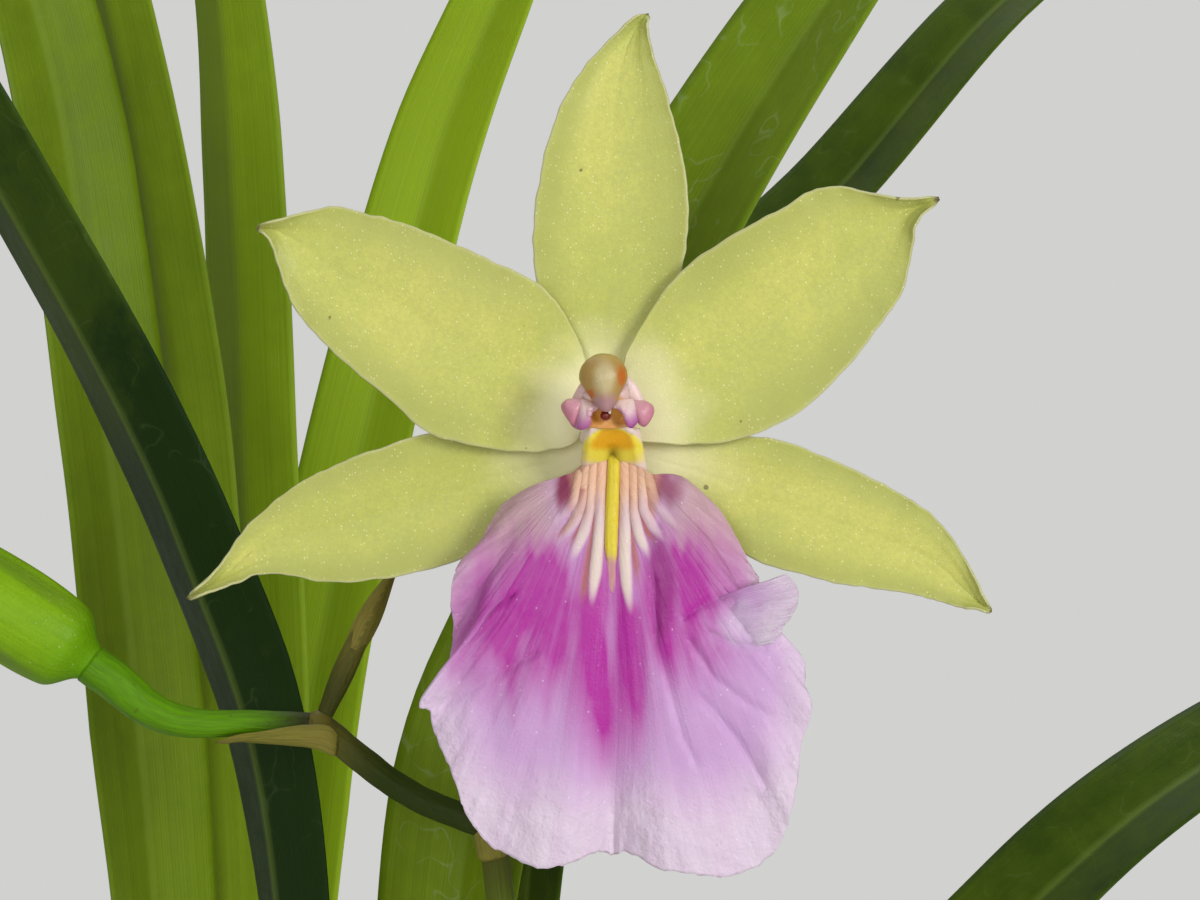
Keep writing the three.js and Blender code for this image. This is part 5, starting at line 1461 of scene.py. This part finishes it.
def lip_place():
    """The lip's surface: rays from its arched base to its folded margin, with folds that fade at the base."""
    margin = Path(LIP_MARGIN)
    last = len(LIP_MARGIN) - 1
    keel = Stroke(LIP_KEEL)
    ridges = [Stroke(line, 0.45) for line in LIP_RIDGES]
    creases = [Stroke(line) for line in LIP_CREASES]

    def side(t):
        i = (t + 1) / 2 * last
        return (i - LIP_MIDDLE) / LIP_MIDDLE if i < LIP_MIDDLE else (i - LIP_MIDDLE) / (last - LIP_MIDDLE)

    def relief(x, z, c, v):
        tall = 0.36 * smooth(0, 0.8, keel.at(x, z)) * (1 - 0.7 * smooth(-9.4, -10.8, z))
        tall = max(tall, *(0.24 * ridge.at(x, z) for ridge in ridges))
        crease = sum(line.at(x, z) for line in creases) * 0.26
        pleat = 0.26 * waver(c * 13, v * 1.1, 3) * smooth(0.35, 0.65, v) * (1 - 0.4 * smooth(0.9, 1, v))
        fine = 0.07 * waver(c * 42, v * 2.5, 8) * smooth(0.3, 0.6, v)
        crimp = 0.26 * waver(c * 64, v * 4, 1) * smooth(0.84, 1, v)
        dimple = 0.09 * waver(x / 1.4, z / 1.4, 2) * smooth(0.5, 0.95, v)
        return tall - crease + pleat + fine + crimp + dimple

    def place(s, t):
        c = side(t)
        v = clamp((s - LIP_CLAW_SHARE) / (1 - LIP_CLAW_SHARE))
        share = (t + 1) / 2
        blur = min(LIP_SMOOTHING * (1 - smooth(0.5, 1, v)), min(share, 1 - share) / 2)
        edge = sum((margin.at(share + k * blur) for k in (-2, -1, 0, 1, 2)), Vector()) / 5
        root = Vector((mix(LIP_BASE["left"], LIP_BASE["right"], (c + 1) / 2), 0,
                       LIP_BASE["low"] + LIP_BASE["arch"] * (1 - c * c)))
        p = root.lerp(edge, v)
        away = c * c
        hollow = LIP_BASE["depth"] - mix(5.2, 0.5, away) * v + mix(4.0, 1.6, away) * v * v
        p.y = hollow + edge.y * smooth(0.35, 1, v)
        p.y += 0.8 * math.exp(-((c / 0.06) ** 2)) * smooth(0.1, 0.7, v)
        p.z += 2 * v * (1 - v) * smooth(0.8, 1, abs(c))
        p.y -= relief(p.x, p.z, c, v) * smooth(0, 0.02, v)
        ragged = 0.2 * waver(t * 60, 2) + 0.1 * waver(t * 150, 5)
        p += (edge - root).normalized() * ragged * smooth(0.9, 1, v)
        if s < LIP_CLAW_SHARE:
            p.y += LIP_BASE["claw"] * (1 - s / LIP_CLAW_SHARE)
        return p

    return place


def make_lip(look, material):
    """The broad lip with its keel, ridges, folds and crinkled margin."""
    making = Making("pale", "rose", "magenta", "dusk", "callus", "groove", "ridge", "keel", "maroon")
    keel = Stroke(LIP_KEEL)
    ridges = [Stroke(line, 0.4) for line in LIP_RIDGES]
    seams = [Stroke(line, 0.3) for line in LIP_SEAMS]
    streaks = [Stroke(line, 0.4) for line in LIP_STREAKS]
    dusk = [Stroke(line, 0.3) for line in LIP_DUSK]

    def masks(s, t, p):
        v = clamp((s - LIP_CLAW_SHARE) / (1 - LIP_CLAW_SHARE))
        x = p.x + 0.3 * waver(p.x / 1.1, p.z / 5, 4)
        z = p.z + 1.2 * waver(p.x / 0.8, p.z / 9, 7)
        streak = strongest(streaks, x, z)
        broad = max(0.86 * patch(x, z, (-6.2, -15.0), (10, 9.5), 0.75),
                    patch(x, z, (0.4, -17.0), (5.6, 13), 0.8),
                    0.8 * patch(x, z, (6.0, -13.6), (8, 9.5), 0.8))
        broad *= 1 + 0.35 * waver(x / 1.6, z / 7, 6)
        middle = patch(x, z, (0.5, -14.6), (1.0, 4.8))
        fold = patch(x, z, (11.4, -15.2), (4.8, 2.8), 0.8)
        ridge = strongest(ridges, p.x, p.z)
        centre = keel.at(p.x, p.z)
        off = abs(x - 0.6)
        top = smooth(-8.2, -4.6, z) * (1 - smooth(3.0, 4.4, off + 0.5 * smooth(-4, -8, z)))
        return {
            "pale": clamp(0.85 * smooth(0.72, 1.0, v + 0.05 * waver(t * 20, v * 3))
                          + 0.45 * smooth(-24, -32, z) + 0.4 * fold),
            "rose": 0.9 * smooth(-15, -6.5, z) * smooth(2.2, 6.5, off),
            "magenta": (clamp(broad + 0.4 * streak - 0.5 * middle - 0.55 * fold)
                        * smooth(-3.6, -9.6, z) * (1 - 0.75 * ridge)),
            "dusk": 0.6 * strongest(dusk, x, z) * (1 - ridge),
            "callus": top,
            "groove": clamp(0.95 * strongest(seams, p.x, p.z)
                            + 0.7 * top * (1 - smooth(0, 0.4, max(ridge, centre)))),
            "ridge": smooth(0.05, 0.7, ridge) * smooth(-3.6, -9.0, z) * mix(1, 0.45, smooth(1.4, 4.6, off)),
            "keel": smooth(0.1, 0.4, centre) * smooth(-1.7, -2.3, z) * (1 - 0.65 * smooth(-9.8, -10.8, z)),
            "maroon": max(patch(x, z, (-3.2, -4.5), (1.1, 2.2), 0.7),
                          0.75 * patch(x, z, (4.9, -4.4), (1.7, 2.2), 0.8)),
        }

    def flap_masks(s, t, p):
        found = masks(0.6, 0.6, p)
        veined = 0.12 * waver(t * 3, s * 2, 5)
        found["pale"] = clamp(found["pale"] + smooth(0.55, 0.95, s) + veined * smooth(0.4, 0.7, s))
        found["rose"] = 0.0
        found["magenta"] *= 1 - smooth(0.35, 0.8, s)
        return found

    top, foot = Path(FLAP_TOP), Path(FLAP_FOOT)

    def flap(s, t):
        p = foot.at(s).lerp(top.at(s), (t + 1) / 2)
        p.x += (1.3 + 0.8 * t) * smooth(0.5, 1, s) * (1 - t * t) + 0.14 * waver(t * 5, 3) * s
        p.y -= 0.1 + (0.25 * (1 - t * t) + 0.12 * waver(t * 2.5, s * 4, 6)) * smooth(0.3, 0.7, s)
        return p

    def weight(s, t):
        return mix(1, 0.2, smooth(0.7, 1, s))

    making.sheet(*LIP_GRID, lip_place(), masks, weight)
    making.sheet(*FLAP_GRID, flap, flap_masks, lambda s, t: mix(0.7, 0.25, smooth(0.5, 1, max(s, abs(t)))))
    give_thickness(making.finish("lip_flesh", [material], ["lip"], BLOOM), look.lip_thickness)


def ball(making, centre, radii, masks, segments=24):
    """A small rounded body with one set of mask values."""
    made = bmesh.ops.create_uvsphere(making.bm, u_segments=segments, v_segments=segments * 2 // 3,
                                     radius=1)["verts"]
    for vertex in made:
        vertex.co = Vector(c * r for c, r in zip(vertex.co, radii)) + Vector(centre)
        for face in vertex.link_faces:
            face.smooth = True
    making.paint(made, **masks)
    return made


# The column's shaft, and the upper and lower edges of the saddle at its foot.
COLUMN_SHAFT = [(0.3, -0.9, -0.5), (0.3, -2.4, 0.5), (0.2, -4.0, 2.1), (-0.05, -5.1, 3.5)]
SADDLE_TOP = [(-1.55, 0, 0.3), (-1.0, 0, 0.62), (-0.35, 0, 0.86), (0.42, 0, 0.95), (1.2, 0, 0.86),
              (1.9, 0, 0.55), (2.75, 0, 0.3)]
SADDLE_FOOT = [(-2.0, 0, -3.0), (-1.27, 0, -2.7), (-0.4, 0, -2.5), (0.63, 0, -2.4), (1.75, 0, -2.5),
               (2.54, 0, -2.8), (3.45, 0, -3.4)]

# Each wing's top and hem, from the cap's beak outwards, and where along it its two lobes part.
WINGS = [
    ([(-0.48, -5.75, 1.87), (-1.03, -5.6, 2.26), (-1.66, -5.45, 2.57), (-2.21, -5.3, 2.57),
      (-2.92, -5.0, 2.42)],
     [(-0.64, -5.8, 1.71), (-1.27, -5.95, 1.47), (-1.5, -6.0, 1.0), (-1.34, -5.9, 0.37), (-1.9, -5.75, 0.13),
      (-2.53, -5.45, 0.37), (-3.0, -5.3, 1.08), (-3.31, -5.1, 1.79), (-3.23, -4.9, 2.26)], 0.56),
    ([(0.54, -5.75, 2.1), (1.17, -5.6, 2.5), (1.88, -5.45, 2.57), (2.59, -5.2, 2.42), (3.14, -4.95, 2.26)],
     [(0.62, -5.8, 1.79), (1.17, -5.95, 1.79), (1.72, -6.0, 1.24), (1.96, -5.9, 0.29), (2.43, -5.7, 0.53),
      (2.67, -5.35, 0.92), (3.06, -5.6, 0.37), (3.61, -5.4, 0.92), (3.77, -5.15, 1.63),
      (3.46, -4.9, 2.18)], 0.6),
]


def make_column(flesh):
    """The column: a waxy shaft with two ruffled wings, a tan hollow, a dark stigma and a golden saddle."""
    making = Making("wing", "violet", "saddle", "throat", "dark", "olive")
    making.tube([(0, 2.3, 0), (0, 0.6, 0), (0, -1.2, -0.2)], (1, 0, 0), lambda s, a: (1.4, 1.4), 12, 32)

    def shaft(s, angle):
        return mix(2.3, 1.9, smooth(0, 0.7, s)), mix(1.3, 1.5, s)

    def shaft_masks(s, t, p):
        throat = patch(p.x, p.z, (0.2, 1.6), (2.1, 1.6), 0.3) * smooth(-3.6, -4.6, p.y)
        return {"wing": 0.25 * smooth(2, 3.4, p.z), "throat": throat}

    making.tube(COLUMN_SHAFT, (1, 0, 0), shaft, 60, 60, shaft_masks)

    def shoulder(s, angle):
        return mix(0.5, 0.62, s), mix(0.45, 0.5, s)

    making.tube([(1.3, -4.9, 4.3), (2.05, -4.7, 3.4), (2.6, -4.5, 2.2)], (1, 0, 0), shoulder, 30, 28,
                lambda s, t, p: {"wing": 0.12 * s})
    making.tube([(-1.3, -4.8, 3.9), (-1.7, -4.8, 3.2), (-2.1, -4.7, 2.3)], (1, 0, 0), shoulder, 30, 28,
                lambda s, t, p: {"wing": 0.3})
    top, foot = Path(SADDLE_TOP), Path(SADDLE_FOOT)

    def saddle(s, t):
        k = (t + 1) / 2
        p = top.at(k).lerp(foot.at(k), s)
        p.y = mix(-5.0, -2.2, s) - 0.35 * math.sin(math.pi * s) + 0.9 * smooth(0.6, 1, abs(t)) ** 2
        p.y += 0.9 * math.exp(-(((p.x - 0.6) / 0.5) ** 2)) * smooth(-0.7, -1.7, p.z)
        p.y += 0.8 * (1 - smooth(0, 0.1, s)) ** 2 - 0.14 * math.exp(-(((s - 0.13) / 0.06) ** 2))
        return p

    def saddle_masks(s, t, p):
        off = abs(p.x - 0.6) + 0.15 * waver(p.x, p.z, 2)
        core = 1 - smooth(0.35, 1.0, off / mix(1.7, 3.9, smooth(0.6, -2.0, p.z)))
        low = mix(1, 0.5, smooth(-0.9, -1.9, p.z)) * smooth(-3.0, -2.0, p.z)
        # Painted shade: dark olive where the saddle sinks back between its feet.
        notch_shade = math.exp(-(((p.x - 0.65) / 0.5) ** 2)) * smooth(-0.9, -1.8, p.z)
        return {"saddle": core * low * smooth(0.1, 0.26, s), "olive": 0.7 * notch_shade, "wing": 0.04}

    making.slab(44, 56, saddle, 0.25, saddle_masks)

    def hollow(s, t):
        x = 0.22 + 1.85 * t
        z = 1.2 + (s - 0.5) * 2.0 * math.sqrt(1 - 0.5 * t * t)
        pockets = math.exp(-(((x + 0.75) / 0.6) ** 2) - ((z - 1.15) / 0.5) ** 2) \
            + math.exp(-(((x - 1.2) / 0.6) ** 2) - ((z - 1.05) / 0.5) ** 2)
        return Vector((x, -5.15 + 0.5 * pockets, z))

    making.slab(30, 44, hollow, 0.2, lambda s, t, p: {"throat": 0.95})
    for crown, hem, fold in WINGS:
        hung, hemmed = Path(crown), Path(hem)
        hand = -1 if hem[-1][0] < 0 else 1

        def wing(s, t):
            k = (t + 1) / 2
            p = hung.along(k).lerp(hemmed.along(k), s)
            p.y -= 0.5 * math.sin(math.pi * min(1, s * 1.1)) * smooth(0, 0.3, k) * (1 - smooth(0.92, 1, k))
            p.y += 0.42 * math.exp(-(((k - fold) / 0.055) ** 2)) * smooth(0, 0.5, s)
            return p

        def wing_masks(s, t, p):
            k = (t + 1) / 2
            outer = smooth(fold - 0.05, fold + 0.05, k)
            edge = smooth(0.25, 0.95, s) * (1 - outer)
            # The right wing's inner lobe takes less wing colour than the left's: a painted highlight where
            # the light from the right falls.
            return {"wing": mix(0.12 if hand > 0 else 0.3, 0.85, outer) * mix(0.6, 1, s),
                    "violet": (0.95 if hand > 0 else 0.85) * edge * smooth(0.0, 0.15, k)}

        making.slab(30, 84, wing, 0.45, wing_masks)
    ball(making, (0.03, -5.5, 1.27), (0.42, 0.4, 0.38), {"dark": 1.0})
    ball(making, (0.36, -5.95, 1.55), (0.13, 0.13, 0.16), {"wing": 0.0}, 14)
    making.finish("column_flesh", [flesh], ["column"], BLOOM)


CAP_MIDDLE = Vector((-0.12, -6.1, 4.28))
CAP_RADII = (1.92, 1.62, 1.88)


def make_cap(material):
    """The anther cap: a ball drawn down into a short beak, stained at its sides."""
    making = Making("face", "stain", "blush", "rim")
    made = ball(making, (0, 0, 0), CAP_RADII, {}, 60)
    for vertex in made:
        x, y, z = vertex.co
        low = smooth(-0.1, -1.9, z)
        pinch = mix(0.36, 0.48, smooth(-0.5, 0.5, x))
        vertex.co = Vector((x * (1 - pinch * low) + 0.2 * low, y * (1 - 0.35 * low) - 0.3 * low,
                            z - 0.85 * low**1.5))
        vertex.co.y -= 0.16 * math.exp(-((x / 0.75) ** 2)) * smooth(1.6, 0, z)
        vertex.co *= 1 + 0.03 * waver(*(vertex.co * 0.9))
        p = vertex.co
        stain = max(patch(p.x, p.z, (1.45, 0.1), (0.75, 1.7)),
                    0.9 * patch(p.x, p.z, (-1.1, -1.4), (0.8, 0.9)))
        making.paint([vertex], face=patch(p.x, p.z, (0.05, -0.1), (1.15, 1.9), 0.6), stain=stain,
                     blush=smooth(-0.9, -2.0, p.z) * (1 - smooth(0.6, 1.3, abs(p.x))),
                     rim=smooth(0.9, 1.8, p.z))
    making.finish("cap_flesh", [material], ["anther_cap"], BLOOM + CAP_MIDDLE)


# The stage.

# Where each light hangs, how broad it is and what it is aimed at, in metres.
LIGHTS = {
    "key": ((0.62, -0.72, 0.54), 0.3, BLOOM * MM),
    "fill": ((-0.16, -0.86, 0.46), 0.5, BLOOM * MM),
    "top": ((-0.2, 0.5, 1.5), 1.2, (0, 0, 0.2)),
}


def area_light(name, power):
    place, size, aim = LIGHTS[name]
    data = bpy.data.lights.new(name, "AREA")
    data.energy = power
    data.shape = "DISK"
    data.size = size
    lamp = bpy.data.objects.new(name, data)
    lamp.location = place
    lamp.rotation_euler = (Vector(aim) - Vector(place)).to_track_quat("-Z", "Y").to_euler()
    bpy.context.scene.collection.objects.link(lamp)


def make_stage(look):
    """Camera in front of the bloom, soft lights, a plain floor and a plain backdrop."""
    scene = bpy.context.scene
    camera = bpy.data.objects.new("camera", bpy.data.cameras.new("camera"))
    camera.data.lens = CAMERA_LENS
    camera.data.sensor_width = CAMERA_SENSOR
    camera.data.clip_start = 0.01
    camera.location = CAMERA_PLACE * MM
    camera.rotation_euler = (math.pi / 2, 0, 0)
    scene.collection.objects.link(camera)
    scene.camera = camera
    area_light("key", look.key_power)
    area_light("fill", look.fill_power)
    area_light("top", look.top_power)
    world = bpy.data.worlds.new("backdrop")
    world.use_nodes = True
    tree = world.node_tree
    seen = node(tree, "ShaderNodeLightPath")["Is Camera Ray"]
    glow = plus(tree, look.sky_light, times(tree, seen, look.sky_shown - look.sky_light))
    background = tree.nodes["Background"]
    feed(tree, background.inputs["Color"], look.sky)
    feed(tree, background.inputs["Strength"], glow)
    scene.world = world
    scene.view_settings.view_transform = "Standard"
    disc = bmesh.new()
    bmesh.ops.create_circle(disc, cap_ends=True, segments=128, radius=look.floor_radius)
    mesh = bpy.data.meshes.new("floor")
    disc.to_mesh(mesh)
    disc.free()
    mesh.materials.append(plain_finish("Floor board", look.floor, 0.85))
    floor = bpy.data.objects.new("floor", mesh)
    scene.collection.objects.link(floor)


# Operators, one for each piece or group of like pieces.

class ORCHID_OT_pot(bpy.types.Operator):
    """Makes the clay pot"""

    bl_idname = "orchid.pot"
    bl_label = "Pot"

    def execute(self, context):
        make_pot(context.scene.orchid_pot)
        return {"FINISHED"}


class ORCHID_OT_bark(bpy.types.Operator):
    """Makes the bark that fills the pot"""

    bl_idname = "orchid.bark"
    bl_label = "Bark"

    def execute(self, context):
        make_bark(context.scene.orchid_pot)
        return {"FINISHED"}


class ORCHID_OT_roots(bpy.types.Operator):
    """Makes the rhizome and its roots"""

    bl_idname = "orchid.roots"
    bl_label = "Rhizome and roots"

    def execute(self, context):
        make_roots(context.scene.orchid_plant)
        return {"FINISHED"}


class ORCHID_OT_bulbs(bpy.types.Operator):
    """Makes the pseudobulbs and their sheaths"""

    bl_idname = "orchid.bulbs"
    bl_label = "Pseudobulbs"

    def execute(self, context):
        look = context.scene.orchid_plant
        materials = [bulb_finish(look), husk_finish(look)]
        for name, at, neck, degrees in BULBS:
            make_bulb(name, at, neck, degrees, materials)
        return {"FINISHED"}


class ORCHID_OT_leaves(bpy.types.Operator):
    """Makes the leaves and the young shoot"""

    bl_idname = "orchid.leaves"
    bl_label = "Leaves"

    def execute(self, context):
        look = context.scene.orchid_plant
        material = leaf_finish(look)
        for name, width, turns, fresh, points in LEAVES:
            make_leaf(name, width, turns, fresh, points, look, material)
        make_shoot(material)
        return {"FINISHED"}


class ORCHID_OT_stalk(bpy.types.Operator):
    """Makes the flower stalk and its pedicels"""

    bl_idname = "orchid.stalk"
    bl_label = "Flower stalk"

    def execute(self, context):
        look = context.scene.orchid_plant
        stalk = stalk_finish(look)
        make_stalk(stalk, bract_finish(look))
        make_pedicels(stalk)
        return {"FINISHED"}


class ORCHID_OT_bud(bpy.types.Operator):
    """Makes the bud"""

    bl_idname = "orchid.bud"
    bl_label = "Bud"

    def execute(self, context):
        make_bud(bud_finish(context.scene.orchid_plant))
        return {"FINISHED"}


class ORCHID_OT_tepals(bpy.types.Operator):
    """Makes the sepals and petals"""

    bl_idname = "orchid.tepals"
    bl_label = "Sepals and petals"

    def execute(self, context):
        look = context.scene.orchid_bloom
        material = tepal_finish(look)
        for name, shape in TEPALS.items():
            make_tepal(name, shape, look, material)
        return {"FINISHED"}


class ORCHID_OT_lip(bpy.types.Operator):
    """Makes the lip"""

    bl_idname = "orchid.lip"
    bl_label = "Lip"

    def execute(self, context):
        look = context.scene.orchid_bloom
        make_lip(look, lip_finish(look))
        return {"FINISHED"}


class ORCHID_OT_column(bpy.types.Operator):
    """Makes the column and its anther cap"""

    bl_idname = "orchid.column"
    bl_label = "Column"

    def execute(self, context):
        look = context.scene.orchid_bloom
        make_column(column_finish(look))
        make_cap(cap_finish(look))
        return {"FINISHED"}


class ORCHID_OT_stage(bpy.types.Operator):
    """Makes the camera, the lights, the floor and the backdrop"""

    bl_idname = "orchid.stage"
    bl_label = "Stage"

    def execute(self, context):
        make_stage(context.scene.orchid_stage)
        return {"FINISHED"}


OPERATORS = (
    ORCHID_OT_stage, ORCHID_OT_pot, ORCHID_OT_bark, ORCHID_OT_roots, ORCHID_OT_bulbs, ORCHID_OT_leaves,
    ORCHID_OT_stalk, ORCHID_OT_bud, ORCHID_OT_tepals, ORCHID_OT_lip, ORCHID_OT_column,
)
SETTINGS = {
    "orchid_pot": OrchidPotSettings,
    "orchid_plant": OrchidPlantSettings,
    "orchid_bloom": OrchidBloomSettings,
    "orchid_stage": OrchidStageSettings,
}


class ORCHID_PT_panel(bpy.types.Panel):
    """Lists the pieces and their settings"""

    bl_label = "Potted orchid"
    bl_idname = "ORCHID_PT_panel"
    bl_space_type = "VIEW_3D"
    bl_region_type = "UI"
    bl_category = "Orchid"

    def draw(self, context):
        for operator in OPERATORS:
            self.layout.operator(operator.bl_idname)
        for name, group in SETTINGS.items():
            box = self.layout.box()
            box.label(text=group.__doc__)
            for setting in group.__annotations__:
                box.prop(getattr(context.scene, name), setting)


def register():
    for name, group in SETTINGS.items():
        bpy.utils.register_class(group)
        setattr(bpy.types.Scene, name, PointerProperty(type=group))
    for operator in OPERATORS:
        bpy.utils.register_class(operator)
    bpy.utils.register_class(ORCHID_PT_panel)


def unregister():
    bpy.utils.unregister_class(ORCHID_PT_panel)
    for operator in reversed(OPERATORS):
        bpy.utils.unregister_class(operator)
    for name, group in SETTINGS.items():
        delattr(bpy.types.Scene, name)
        bpy.utils.unregister_class(group)


def main():
    register()
    for operator in OPERATORS:
        family, name = operator.bl_idname.split(".")
        getattr(getattr(bpy.ops, family), name)()


if __name__ == "__main__":
    main()
